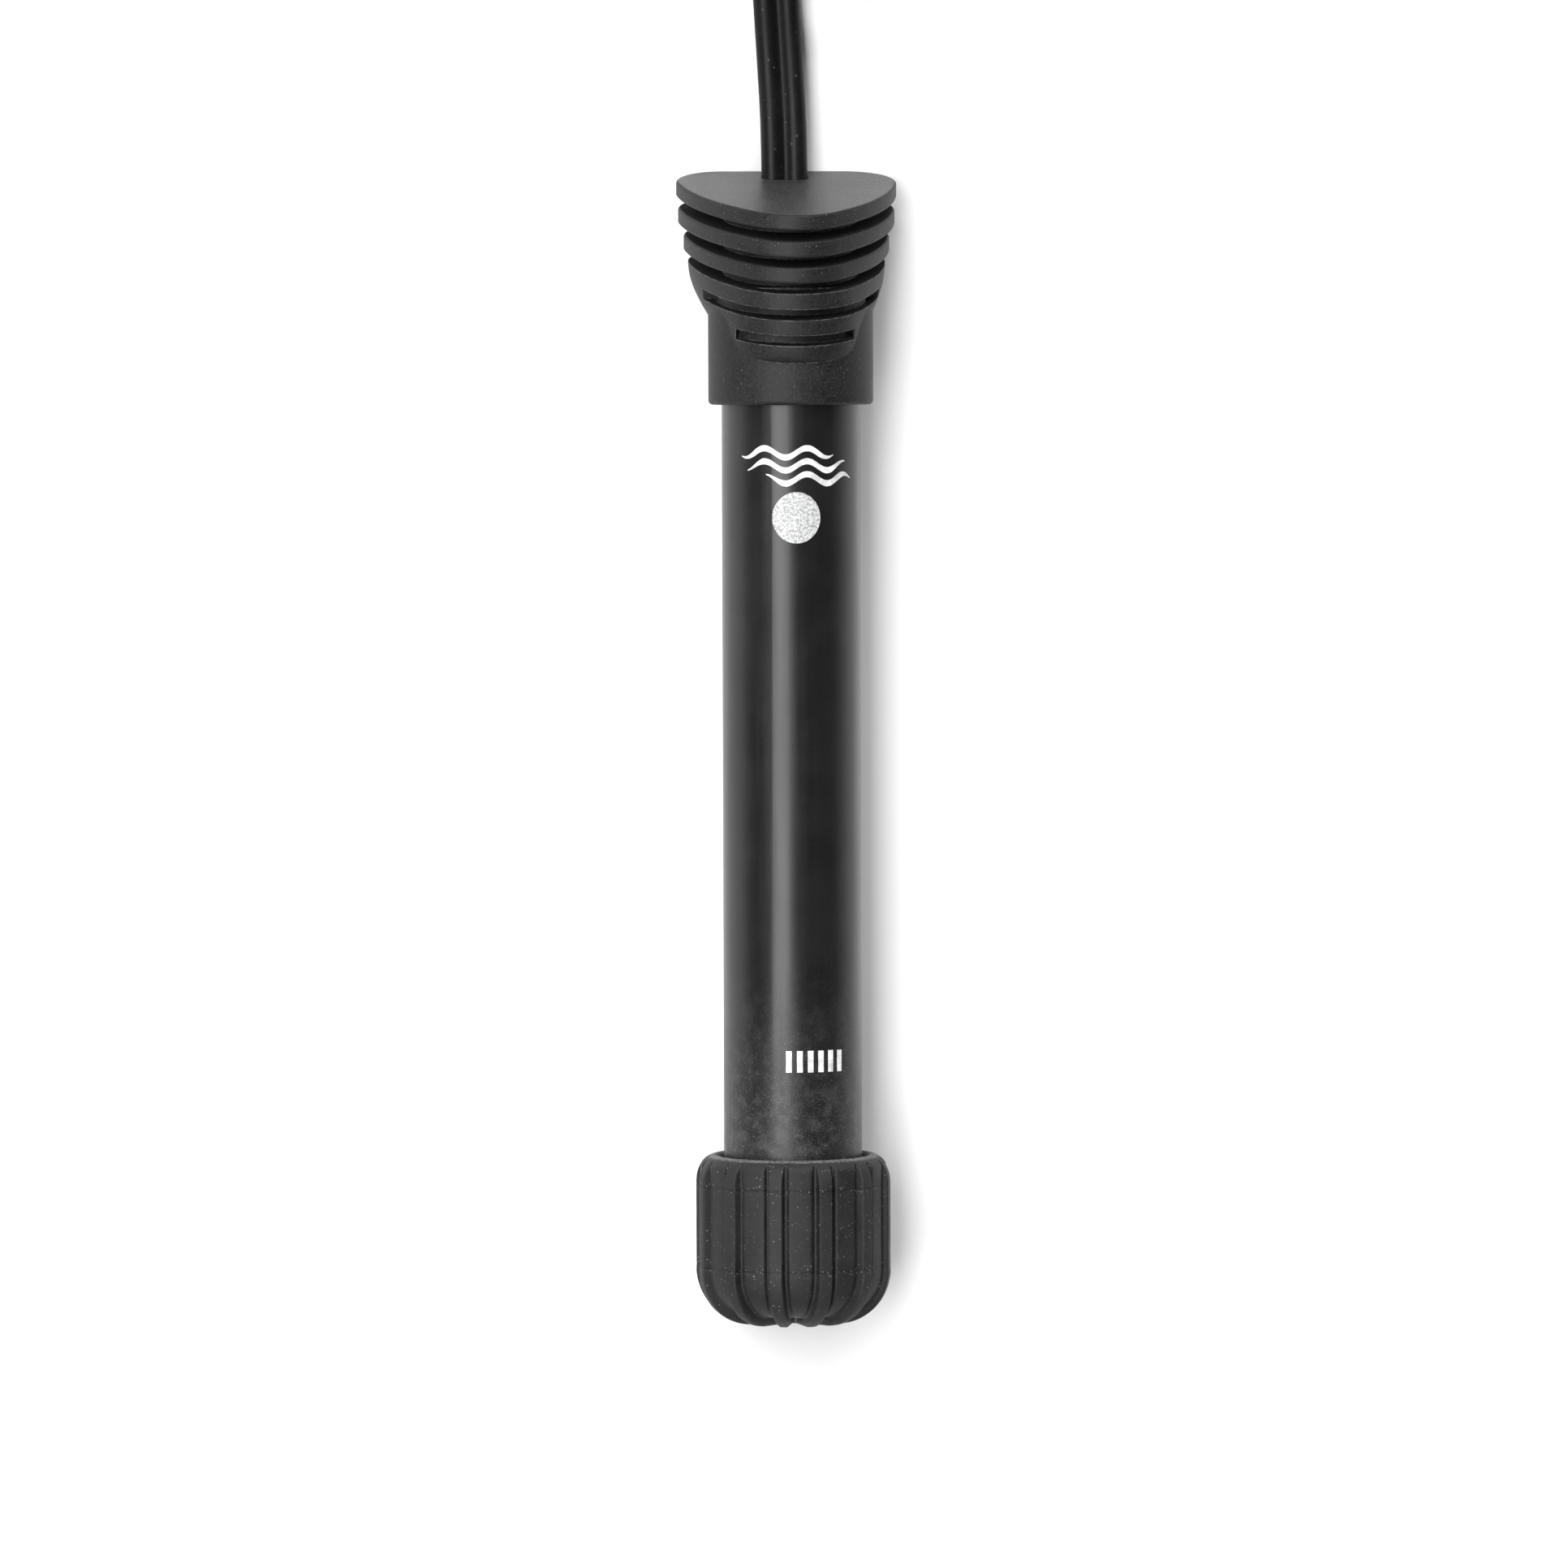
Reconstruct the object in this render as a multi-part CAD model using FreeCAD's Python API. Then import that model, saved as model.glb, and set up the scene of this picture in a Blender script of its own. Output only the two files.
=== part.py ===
import FreeCAD, Part
import math
import os

from FreeCAD import Vector

# A preset submersible aquarium heater, in millimetres.
#
# Each piece is modelled standing up: x across the front, y from front to back, z up along the
# tube from the guard's tip, with the indicator on the -y side. lay_down() then turns it to the
# part's own frame, where the heater lies on its back: +Y along the tube to the cap, +Z up.
# The lead, its hank and its plug lie on the table and are modelled in the part's own frame.

# Casing tube
TUBE_R = 11.25
TUBE_WALL = 1.25
TUBE_FLOOR_Z = 4.5
TUBE_FLOOR_THICK = 1.6
TUBE_LENGTH = 163.5
TUBE_CORNER = 2.5

# Indicator window, slightly oval
WINDOW_HALF_WIDTH = 3.9
WINDOW_HALF_HEIGHT = 4.15
WINDOW_DROP = 18.2
WINDOW_DEPTH = 2.0

# Foot guard
GUARD_HEIGHT = 27.6
GUARD_WALL = 4.7
GUARD_CLEARANCE = 0.05
GUARD_SHOULDER = (3.2, 4.8)
GUARD_BOTTOM_CORNER = (8.5, 9.1)
GUARD_MOUTH_FLARE = 1.2
RIB_COUNT = 12
RIB_HALF_WIDTH = 1.15
PANEL_DEPTH = 0.85
PANEL_BOTTOM_DEPTH = 0.8
GROOVE_DEPTH = 1.4
GROOVE_WIDTH = 0.85

# Cap
CAP_GRIP = 18.2
COLLAR_WALL = 2.15
COLLAR_EDGE = 0.7
FIN_TILT = math.radians(12.8)
FIN_OVERHANG = 4.6
NOSE_OVERHANG = 4.9
CAP_CORNER_R = 8.0
CAP_NOSE_R = 8.75
BOWL_NOSE_R = 11.2
CAP_SIDE_R = 38.0
PLATE_THICK = 2.6
FIN_THICK = 2.65
FIN_PITCH = 4.35
PLATE_HEIGHT = 34.6
FIN_EDGE = 0.45
FIN_RECEDE = (0.3, 1.2)
BOWL_RECEDE = 1.9
BOWL_DEPTH = 12.9
BOWL_SECTIONS = 7
BOWL_SIDE_TAPER = 0.048
BOWL_NOSE_TAPER = 0.018
BOWL_BACK_TAPER = 0.016
SPINE_HALF_WIDTH = 9.5
FRONT_GROOVE_HALF = 14.4
RECESS_HALF = 9.6
RECESS_WALL = 1.6
GROOVE_WALL = 1.0
FIN_CORE_WALL = 1.6
FIN_NOSE_STEP = 0.6
CAVITY_HEIGHT = 10.5
CAVITY_WALL = 4.0

# Lead
CORD_WIDTH = 7.6
CORD_THICK = 3.8
CORD_SETBACK = 10.5
CORD_FIT = 0.1
ANCHOR_SIZE = (11.0, 6.0, 3.4)
ANCHOR_ABOVE_MOUTH = 6.5
CORD_ARC_SHARE = 0.45
CORD_END_ABOVE_MOUTH = 6.0

# Seal
BUNG_LENGTH = 10.0
BUNG_RECESS = 0.5
O_RING_R = 0.85
O_RING_GROOVE = 2.0
O_RING_PLACES = (0.3, 0.7)
WIRE_R = 0.7
WIRE_HOLE_X = 4.0
WIRE_HOLE_Y = 1.0
WIRE_TURN_RISE = 2.4
WIRE_TURN_DROP = 2.0
WIRE_SPREAD = 0.8
WIRE_LANDING = (2.0, 5.0)

# Thermostat
BOARD_GAP = 3.0
BOARD_LENGTH = 38.0
BOARD_THICK = 1.6
BOARD_FRONT = 3.5
BOARD_MARGIN = 0.25
STRIP_THICK = 0.35
STRIP_WIDTH = 4.0
STRIP_FRONT = 0.15
STRIP_LENGTH = 23.0
STRIP_ANCHOR = (5.0, 4.0)
STRIP_INSET = 5.0
CONTACT_INSET = 3.0
CONTACT_R = 1.5
CONTACT_THICK = 0.8
CONTACT_GAP = 0.05
SPRING_LENGTH = 10.0
SPRING_PAST_CONTACT = 2.0
POST_HEIGHT = 4.0
SCREW_R = 1.25
SCREW_FIT = 0.05
SCREW_HEAD_R = 2.2
SCREW_HEAD_THICK = 1.2
SCREW_BELOW_STRIP = 2.5
SCREW_SLOT = 0.6
BRIDGE_THICK = 1.6
BRIDGE_HEIGHT = 3.6
BRIDGE_LEG = 1.0
BRIDGE_SIDE_GAP = 1.4
BRIDGE_RISE = 2.35
RIVET_R = 0.6
RIVET_HEAD_R = 1.0
RIVET_HEAD_THICK = 0.5
RIVET_SPREAD = 1.3
HINGE_GAP = 0.1
MAGNET = (4.0, 2.4, 4.0)
MAGNET_RISE = 5.0
FUSE_R = 1.7
FUSE_LENGTH = 8.0
FUSE_RISE = 1.5
FUSE_EDGE = 0.2
RESISTOR_R = 1.2
RESISTOR_LENGTH = 6.5
RESISTOR_RISE = 2.0
RESISTOR_EDGE = 0.4
LAMP_R = 2.5
LAMP_LENGTH = 12.0
LAMP_CLEARANCE = 0.5
LAMP_TIP_R = 2.0
HOLDER_HEIGHT = 3.0
HOLDER_WALL = 0.8
HOLDER_HALF_WIDTH = 7.1
HOLDER_SEAT = 0.6
HOLDER_BACK = 1.0

# Heating element
CUSHION_THICK = 4.9
DISC_THICK = 3.0
ELEMENT_GAP = 7.0
CORE_R = 6.0
CORE_BORE_R = 1.0
CORE_SLOT = (1.4, 1.8)
LEAD_NUDGE = 0.01
LEAD_RISE = (4.0, 1.0)
LEAD_LANDING_X = (3.4, 3.5)
LEAD_LANDING = (1.0, 2.0)
COIL_WIRE_R = 0.35
COIL_PITCH = 4.2
COIL_MARGIN = 3.4
SAND_GAP = 0.3
SLEEVE_FIT = 0.05

# Hank of spare lead, its strap and the plug
HANK_START = 128.0
HANK_LENGTH = 150.0
HANK_LOOP_R = 32.7
HANK_WAIST_HALF = 12.9
HANK_HEIGHT = 16.4
HANK_NEAR_HEIGHT = 20.2
HANK_NEAR_REACH = 30.5
STRAP_WIDTH = 10.0
STRAP_THICK = 1.0
STRAP_FIT = 0.1
STRAP_CORNER = 2.0
PLUG_SIZE = (24.0, 26.0, 15.0)
PLUG_EDGE = 3.0
PLUG_NECK = 20.0
PLUG_NECK_SIZE = (10.6, 6.4)
PLUG_NECK_ROOT = (12.0, 9.0)
PLUG_LIFT = 0.3
CORD_IN_NECK = 6.0
BLADE = (1.5, 17.0, 6.35)
BLADE_SPACING = 12.7
BLADE_ROOT = 6.0
PLUG_PAST_WAIST = 3.0

# How far a cutting solid runs past what it cuts, and half the size of one that takes a whole side
OVERRUN = 1.0
REACH = 60.0
CURVE_STEPS = 6
SAME_HEIGHT = 1e-6

# Sizes that follow from those above
TAN_TILT = math.tan(FIN_TILT)
BORE_R = TUBE_R - TUBE_WALL
TUBE_MOUTH = TUBE_FLOOR_Z + TUBE_LENGTH
COLLAR_R = TUBE_R + COLLAR_WALL
COLLAR_BASE = TUBE_MOUTH - CAP_GRIP
PLATE_TOP = COLLAR_BASE + PLATE_HEIGHT
GUARD_BORE_R = TUBE_R + GUARD_CLEARANCE
GUARD_R = GUARD_BORE_R + GUARD_WALL
RIB_ANGLE = 2 * math.pi / RIB_COUNT
AXIS_HEIGHT = GUARD_R * math.cos(RIB_ANGLE / 2 - math.asin(RIB_HALF_WIDTH / GUARD_R))
CAP_HALF_WIDTH = COLLAR_R + FIN_OVERHANG
CAP_NOSE = COLLAR_R + NOSE_OVERHANG
OVERALL_LENGTH = PLATE_TOP + TAN_TILT * AXIS_HEIGHT
WINDOW_Z = COLLAR_BASE - WINDOW_DROP
CAVITY_R = COLLAR_R - CAVITY_WALL
CAVITY_TOP = TUBE_MOUTH + CAVITY_HEIGHT
ANCHOR_Z = TUBE_MOUTH + ANCHOR_ABOVE_MOUTH
CORD_END_Z = TUBE_MOUTH + CORD_END_ABOVE_MOUTH
BUNG_TOP = TUBE_MOUTH - BUNG_RECESS
BUNG_BOTTOM = BUNG_TOP - BUNG_LENGTH
BOARD_TOP = BUNG_BOTTOM - BOARD_GAP
BOARD_BOTTOM = BOARD_TOP - BOARD_LENGTH
BOARD_HALF_WIDTH = math.sqrt((BORE_R - BOARD_MARGIN) ** 2 - (BOARD_FRONT + BOARD_THICK) ** 2)
FUSE_X = FUSE_R + FUSE_EDGE - BOARD_HALF_WIDTH
STRIP_TOP = BOARD_TOP - STRIP_INSET
STRIP_BOTTOM = STRIP_TOP - STRIP_LENGTH
STRIP_BACK = STRIP_THICK - STRIP_FRONT
CONTACT_Z = STRIP_BOTTOM + CONTACT_INSET
SPRING_FRONT = STRIP_BACK + 2 * CONTACT_THICK + CONTACT_GAP + STRIP_FRONT
SPRING_ROOT = CONTACT_Z - SPRING_LENGTH + SPRING_PAST_CONTACT
SCREW_Z = STRIP_BOTTOM - SCREW_BELOW_STRIP
LAMP_Y = -(BORE_R - LAMP_CLEARANCE - WINDOW_DEPTH + TUBE_WALL - LAMP_R)
INNER_FLOOR = TUBE_FLOOR_Z + TUBE_FLOOR_THICK
LOWER_DISC_Z = INNER_FLOOR + CUSHION_THICK
CORE_BOTTOM = LOWER_DISC_Z + DISC_THICK
CORE_TOP = BOARD_BOTTOM - ELEMENT_GAP - DISC_THICK
COIL_R = CORE_R + COIL_WIRE_R
COIL_BOTTOM = CORE_BOTTOM + COIL_MARGIN
COIL_TURNS = int((CORE_TOP - COIL_MARGIN - COIL_BOTTOM) / COIL_PITCH)
COIL_TOP = COIL_BOTTOM + COIL_TURNS * COIL_PITCH
LEAD_R = COIL_WIRE_R
NEAR_LOOP_Y = HANK_START + HANK_LOOP_R
WAIST_Y = HANK_START + HANK_LENGTH / 2
FAR_LOOP_Y = HANK_START + HANK_LENGTH - HANK_LOOP_R
PLUG_Z = HANK_HEIGHT + PLUG_LIFT + PLUG_SIZE[2] / 2
PLUG_BACK_Y = WAIST_Y + PLUG_PAST_WAIST - PLUG_NECK
CORD_EXIT_Z = AXIS_HEIGHT - CORD_SETBACK

UP = Vector(0, 0, 1)
RIGHT = Vector(1, 0, 0)
BACK = Vector(0, 1, 0)


# Helpers

def lay_down(shape):
    """Turn a piece that stands on the guard's tip so that it lies on its back on the table."""
    laid = shape.copy()
    laid.rotate(Vector(0, 0, 0), RIGHT, -90)
    laid.translate(Vector(0, -OVERALL_LENGTH / 2, AXIS_HEIGHT))
    return laid


def save(shape, node):
    """Write one node's solids to its STEP file."""
    shape.exportStep(os.path.join("parts", node + ".step"))
    print(f"{node}: {len(shape.Solids)} solid(s), {shape.Volume:.1f} mm3")


def cylinder(radius, low, high, x=0.0, y=0.0):
    """An upright cylinder between two heights."""
    return Part.makeCylinder(radius, high - low, Vector(x, y, low), UP)


def rod(radius, front, back, z, x=0.0):
    """A cylinder that runs from front to back."""
    return Part.makeCylinder(radius, back - front, Vector(x, front, z), BACK)


def tube(outer, inner, low, high):
    """An upright ring between two heights."""
    return cylinder(outer, low, high).cut(cylinder(inner, low, high))


def block(x_range, y_range, z_range):
    """A box given by its low and high side on each axis."""
    low, high = zip(x_range, y_range, z_range)
    size = [b - a for a, b in zip(low, high)]
    return Part.makeBox(*size, Vector(*low))


def fused(shapes):
    """One shape made of several that touch or overlap."""
    return shapes[0].multiFuse(shapes[1:]).removeSplitter()


def route_wire(points):
    """Straight runs joined by tangent arcs, each as large as its two runs allow."""
    edges = []
    radii = []
    start = points[0]
    for before, here, after in zip(points, points[1:], points[2:]):
        arrive = here - before
        leave = after - here
        setback = CORD_ARC_SHARE * min(arrive.Length, leave.Length)
        half_turn = arrive.getAngle(leave) / 2
        radius = setback / math.tan(half_turn)
        inward = (leave.normalize() - arrive.normalize()).normalize()
        arc_start = here - arrive * setback
        arc_end = here + leave * setback
        arc_middle = here + inward * (radius / math.cos(half_turn) - radius)
        edges.append(Part.makeLine(start, arc_start))
        edges.append(Part.Arc(arc_start, arc_middle, arc_end).toShape())
        radii.append(radius)
        start = arc_end
    edges.append(Part.makeLine(start, points[-1]))
    return Part.Wire(edges), radii


def round_lead(points, radius):
    """A round wire along a route."""
    path, _ = route_wire(points)
    ring = Part.Wire(Part.Circle(points[0], points[1] - points[0], radius).toShape())
    return path.makePipeShell([ring], True, False)


def flat_profile(centre, across, through):
    """The flat lead's section: two straight sides and two round ends."""
    half = (CORD_WIDTH - CORD_THICK) / 2
    r = CORD_THICK / 2
    sides = [
        Part.makeLine(centre + across * half + through * r, centre - across * half + through * r),
        Part.Arc(centre - across * half + through * r, centre - across * (half + r),
                 centre - across * half - through * r).toShape(),
        Part.makeLine(centre - across * half - through * r, centre + across * half - through * r),
        Part.Arc(centre + across * half - through * r, centre + across * (half + r),
                 centre + across * half + through * r).toShape(),
    ]
    return Part.Wire(sides)


def flat_lead(points, across, name):
    """The flat lead along a route, with its radii and its length printed."""
    path, radii = route_wire(points)
    along = (points[1] - points[0]).normalize()
    through = along.cross(across).normalize()
    section = flat_profile(points[0], through.cross(along).normalize(), through)
    solid = path.makePipeShell([section], True, False)
    expected = Part.Face(section).Area * path.Length
    print(f"{name} radii:", [round(r, 1) for r in radii], f"length {path.Length:.1f} mm",
          f"volume {solid.Volume:.1f} mm3, section x length {expected:.1f} mm3")
    return solid


def elliptic_corner(centre_r, centre_z, size_r, size_z, up):
    """A quarter ellipse in the x-z plane: an upper or a lower outside corner."""
    ellipse_points = []
    for step in range(CURVE_STEPS + 1):
        angle = math.pi / 2 * step / CURVE_STEPS
        z = centre_z + (size_z if up else -size_z) * math.cos(angle)
        ellipse_points.append(Vector(centre_r + size_r * math.sin(angle), 0, z))
    if up:
        ellipse_points.reverse()
    curve = Part.BSplineCurve()
    curve.interpolate(ellipse_points)
    return curve.toShape()


def revolved(edges):
    """A solid of revolution about the tube's axis from a closed run of edges."""
    return Part.Face(Part.Wire(edges)).revolve(Vector(0, 0, 0), UP, 360)


# Casing tube and window

def window_plug():
    """The oval prism that both the window and its hole in the casing are cut with."""
    outline = Part.Ellipse(Vector(0, 0, 0), WINDOW_HALF_HEIGHT, WINDOW_HALF_WIDTH).toShape()
    prism = Part.Face(Part.Wire(outline)).extrude(UP * (WINDOW_DEPTH + TUBE_R / 2))
    prism.rotate(Vector(0, 0, 0), UP, 90)
    prism.rotate(Vector(0, 0, 0), RIGHT, 90)
    prism.translate(Vector(0, -(TUBE_R - WINDOW_DEPTH), WINDOW_Z))
    return prism


def casing_tube():
    outside = cylinder(TUBE_R, TUBE_FLOOR_Z, TUBE_MOUTH)
    foot_edge = [e for e in outside.Edges if abs(e.BoundBox.ZMax - TUBE_FLOOR_Z) < SAME_HEIGHT]
    outside = outside.makeFillet(TUBE_CORNER, foot_edge)
    hollow = cylinder(BORE_R, INNER_FLOOR, TUBE_MOUTH)
    return outside.cut(hollow).cut(window_plug())


def light_window():
    return window_plug().common(cylinder(TUBE_R, WINDOW_Z - TUBE_R, WINDOW_Z + TUBE_R))


# Foot guard

def guard_profile(inset, bottom_inset, shouldered):
    """The guard's outside profile, or that of its panels or grooves, which run straight up."""
    corner_r, corner_z = GUARD_BOTTOM_CORNER
    flat_r = GUARD_R - corner_r
    wall_r = GUARD_R - inset
    top_r = GUARD_R - GUARD_SHOULDER[0] if shouldered else wall_r
    wall_top = GUARD_HEIGHT - GUARD_SHOULDER[1] if shouldered else GUARD_HEIGHT
    foot = elliptic_corner(flat_r, corner_z, corner_r - inset, corner_z - bottom_inset, False)
    axis_low = Vector(0, 0, bottom_inset)
    axis_high = Vector(0, 0, GUARD_HEIGHT)
    profile = [
        Part.makeLine(axis_low, Vector(flat_r, 0, bottom_inset)),
        foot,
        Part.makeLine(Vector(wall_r, 0, corner_z), Vector(wall_r, 0, wall_top)),
        Part.makeLine(Vector(top_r, 0, GUARD_HEIGHT), axis_high),
        Part.makeLine(axis_high, axis_low),
    ]
    if shouldered:
        profile.insert(3, elliptic_corner(top_r, wall_top, *GUARD_SHOULDER, True))
    return profile


def gap_prism(width_inset, strip_width):
    """The space between two ribs, or a strip of it along each rib, centred on the front."""
    reach = GUARD_R + 2 * OVERRUN
    half_gap = RIB_ANGLE / 2
    near = (RIB_HALF_WIDTH + width_inset) / math.sin(half_gap)
    side = Vector(math.sin(half_gap), -math.cos(half_gap), 0)
    inner_side = Vector(math.cos(half_gap), math.sin(half_gap), 0)
    tip = Vector(0, -near, 0)
    outer = tip + side * reach
    if strip_width is None:
        corners = [tip, outer, Vector(-outer.x, outer.y, 0)]
        return [prism_between(corners)]
    along = tip + side * (GUARD_R / 3)
    strip = [along, outer, outer - inner_side * strip_width, along - inner_side * strip_width]
    mirrored = [Vector(-p.x, p.y, 0) for p in strip]
    return [prism_between(strip), prism_between(mirrored)]


def prism_between(corners):
    """An upright prism over a polygon, as tall as the guard and a little more."""
    face = Part.Face(Part.makePolygon(corners + [corners[0]]))
    face.translate(UP * -OVERRUN)
    return face.extrude(UP * (GUARD_HEIGHT + 2 * OVERRUN))


def all_round(solids):
    """Copies of some solids at every gap between ribs."""
    copies = []
    for index in range(RIB_COUNT):
        for solid in solids:
            turned = solid.copy()
            turned.rotate(Vector(0, 0, 0), UP, math.degrees(index * RIB_ANGLE))
            copies.append(turned)
    return Part.makeCompound(copies)


def foot_guard():
    outside = revolved(guard_profile(0.0, 0.0, True))
    envelope = cylinder(GUARD_R + OVERRUN, -OVERRUN, GUARD_HEIGHT + OVERRUN)
    panel_core = revolved(guard_profile(PANEL_DEPTH, PANEL_BOTTOM_DEPTH, False))
    groove_core = revolved(guard_profile(GROOVE_DEPTH, PANEL_BOTTOM_DEPTH, False))
    panel_space = envelope.cut(panel_core)
    groove_space = envelope.cut(groove_core)
    guard = outside.cut(panel_space.common(all_round(gap_prism(0.0, None))))
    guard = guard.cut(groove_space.common(all_round(gap_prism(0.0, GROOVE_WIDTH))))
    guard = guard.cut(cylinder(GUARD_BORE_R, TUBE_FLOOR_Z - GUARD_CLEARANCE, GUARD_HEIGHT + OVERRUN))
    flare = Part.makeCone(GUARD_BORE_R, GUARD_BORE_R + GUARD_MOUTH_FLARE, GUARD_MOUTH_FLARE,
                          Vector(0, 0, GUARD_HEIGHT - GUARD_MOUTH_FLARE), UP)
    return guard.cut(flare)


# Cap

def arc_between(centre, radius, start, end):
    """The shorter arc of a circle between two of its points."""
    middle = (start + end) * 0.5 - centre
    return Part.Arc(start, centre + middle.normalize() * radius, end).toShape()


def cap_outline(half_width, nose, back, nose_r):
    """The cap's plan: a flat back, round corners, full sides and a rounded nose."""
    corner = Vector(half_width - CAP_CORNER_R, back - CAP_CORNER_R, 0)
    front = Vector(0, nose_r - nose, 0)
    corner_reach = CAP_SIDE_R - CAP_CORNER_R
    front_reach = CAP_SIDE_R - nose_r
    apart = corner - front
    along = (corner_reach ** 2 - front_reach ** 2 + apart.Length ** 2) / (2 * apart.Length)
    aside = math.sqrt(corner_reach ** 2 - along ** 2)
    unit = Vector(apart).normalize()
    side = corner - unit * along + Vector(-unit.y, unit.x, 0) * aside
    back_right = Vector(corner.x, back, 0)
    side_top = side + (corner - side) * (CAP_SIDE_R / corner_reach)
    side_low = side + (front - side) * (CAP_SIDE_R / front_reach)
    mirror = [Vector(-p.x, p.y, 0) for p in (back_right, side_top, side_low, corner, side)]
    edges = [
        Part.makeLine(mirror[0], back_right),
        arc_between(corner, CAP_CORNER_R, back_right, side_top),
        arc_between(side, CAP_SIDE_R, side_top, side_low),
        arc_between(front, nose_r, side_low, mirror[2]),
        arc_between(mirror[4], CAP_SIDE_R, mirror[2], mirror[1]),
        arc_between(mirror[3], CAP_CORNER_R, mirror[1], mirror[0]),
    ]
    return Part.Wire(edges)


def tilted(shape, height):
    """Tilt a shape drawn level, lower at the front, and lift it to a height on the axis."""
    turned = shape.copy()
    turned.rotate(Vector(0, 0, 0), RIGHT, math.degrees(FIN_TILT))
    turned.translate(UP * height)
    return turned


def tilted_outline(side_recede, nose_recede, back_recede, nose_r, height):
    """The cap's plan in a tilted plane, drawn deeper so that its plan from above is true."""
    deeper = 1 / math.cos(FIN_TILT)
    outline = cap_outline(CAP_HALF_WIDTH - side_recede, (CAP_NOSE - nose_recede) * deeper,
                          (AXIS_HEIGHT - back_recede) * deeper, nose_r)
    return tilted(outline, height)


def fin(recede, nose_r, top, thick):
    """One fin: a tilted plate with softened upper and lower edges."""
    plate = Part.Face(tilted_outline(recede, recede, 0.0, nose_r, top - thick))
    plate = plate.extrude(UP * thick)
    rims = [f for f in plate.Faces if abs(f.normalAt(0, 0).z) > 0.9]
    edges = [e for rim in rims for e in rim.Edges]
    return plate.makeFillet(FIN_EDGE, edges)


def bowl(top):
    """The cap's lower body, which narrows from the last fin down into the collar."""
    sections = []
    for index in range(BOWL_SECTIONS):
        depth = BOWL_DEPTH * index / (BOWL_SECTIONS - 1)
        sections.append(tilted_outline(
            BOWL_RECEDE + BOWL_SIDE_TAPER * depth ** 2,
            BOWL_RECEDE + BOWL_NOSE_TAPER * depth ** 2,
            BOWL_BACK_TAPER * depth ** 2,
            BOWL_NOSE_R, top - depth))
    return Part.makeLoft(sections, True, False)


def slab(low, high, half_width):
    """A tilted layer of the cap, from its middle forwards."""
    size = 2 * half_width
    layer = Part.makeBox(size, REACH, high - low, Vector(-half_width, -REACH, 0))
    return tilted(layer, low)


def below_plane(height):
    """Everything under a tilted plane."""
    size = 2 * REACH
    return tilted(Part.makeBox(size, size, size, Vector(-REACH, -REACH, -size)), height)


def cord_passage():
    """The straight way for the flat lead through the top of the cap."""
    width = CORD_WIDTH + 2 * CORD_FIT
    thick = CORD_THICK + 2 * CORD_FIT
    half = (width - thick) / 2
    z_range = (ANCHOR_Z, OVERALL_LENGTH + OVERRUN)
    ends = [cylinder(thick / 2, *z_range, x, CORD_SETBACK) for x in (-half, half)]
    middle = block((-half, half), (CORD_SETBACK - thick / 2, CORD_SETBACK + thick / 2), z_range)
    return fused([middle] + ends)


def anchor_block(low):
    """The grommet's outside from a given height up, which its pocket in the cap shares."""
    width, depth, height = ANCHOR_SIZE
    return block((-width / 2, width / 2), (CORD_SETBACK - depth / 2, CORD_SETBACK + depth / 2),
                 (low, ANCHOR_Z + height))


def head_cap():
    fin_tops = [PLATE_TOP - FIN_PITCH * (index + 1) for index in range(3)]
    collar = cylinder(COLLAR_R, COLLAR_BASE, fin_tops[2] - FIN_THICK)
    foot_edge = [e for e in collar.Edges if abs(e.BoundBox.ZMax - COLLAR_BASE) < SAME_HEIGHT]
    collar = collar.makeFillet(COLLAR_EDGE, foot_edge)
    spine_base = fin_tops[2] - FIN_THICK
    spine = block((-SPINE_HALF_WIDTH, SPINE_HALF_WIDTH), (0, AXIS_HEIGHT),
                  (spine_base, PLATE_TOP + AXIS_HEIGHT))
    fin_core = cylinder(CAVITY_R + FIN_CORE_WALL, COLLAR_BASE, PLATE_TOP + AXIS_HEIGHT)
    core = fused([fin_core, spine]).common(below_plane(PLATE_TOP - PLATE_THICK / 2))
    plate = fin(0.0, CAP_NOSE_R, PLATE_TOP, PLATE_THICK)
    upper = fin(FIN_RECEDE[0], CAP_NOSE_R + FIN_NOSE_STEP, fin_tops[0], FIN_THICK)
    lower = fin(FIN_RECEDE[1], CAP_NOSE_R + 2 * FIN_NOSE_STEP, fin_tops[1], FIN_THICK)
    neck = bowl(fin_tops[2])
    groove_top = fin_tops[2] - FIN_THICK
    groove_low = fin_tops[2] - FIN_PITCH
    groove = slab(groove_low, groove_top, FRONT_GROOVE_HALF)
    groove = groove.cut(cylinder(TUBE_R + GROOVE_WALL, COLLAR_BASE, PLATE_TOP))
    recess_top = groove_low - FIN_THICK
    recess = slab(groove_low - FIN_PITCH, recess_top, RECESS_HALF)
    recess = recess.cut(cylinder(TUBE_R + RECESS_WALL, COLLAR_BASE, PLATE_TOP))
    neck = fused([neck, collar]).cut(groove).cut(recess)
    cap = fused([core, plate, upper, lower, neck])
    cap = cap.cut(cylinder(TUBE_R, COLLAR_BASE - OVERRUN, TUBE_MOUTH))
    cap = cap.cut(cylinder(CAVITY_R, TUBE_MOUTH - OVERRUN, CAVITY_TOP))
    return cap.cut(anchor_block(TUBE_MOUTH)).cut(cord_passage())


def cord_anchor():
    """The grommet, filled by the lead where the lead runs through it."""
    lead = flat_profile(Vector(0, CORD_SETBACK, CORD_END_Z), RIGHT, BACK)
    return anchor_block(ANCHOR_Z).cut(Part.Face(lead).extrude(UP * REACH))


# Seal and inner leads

def o_ring_heights():
    return [BUNG_BOTTOM + BUNG_LENGTH * place for place in O_RING_PLACES]


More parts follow.
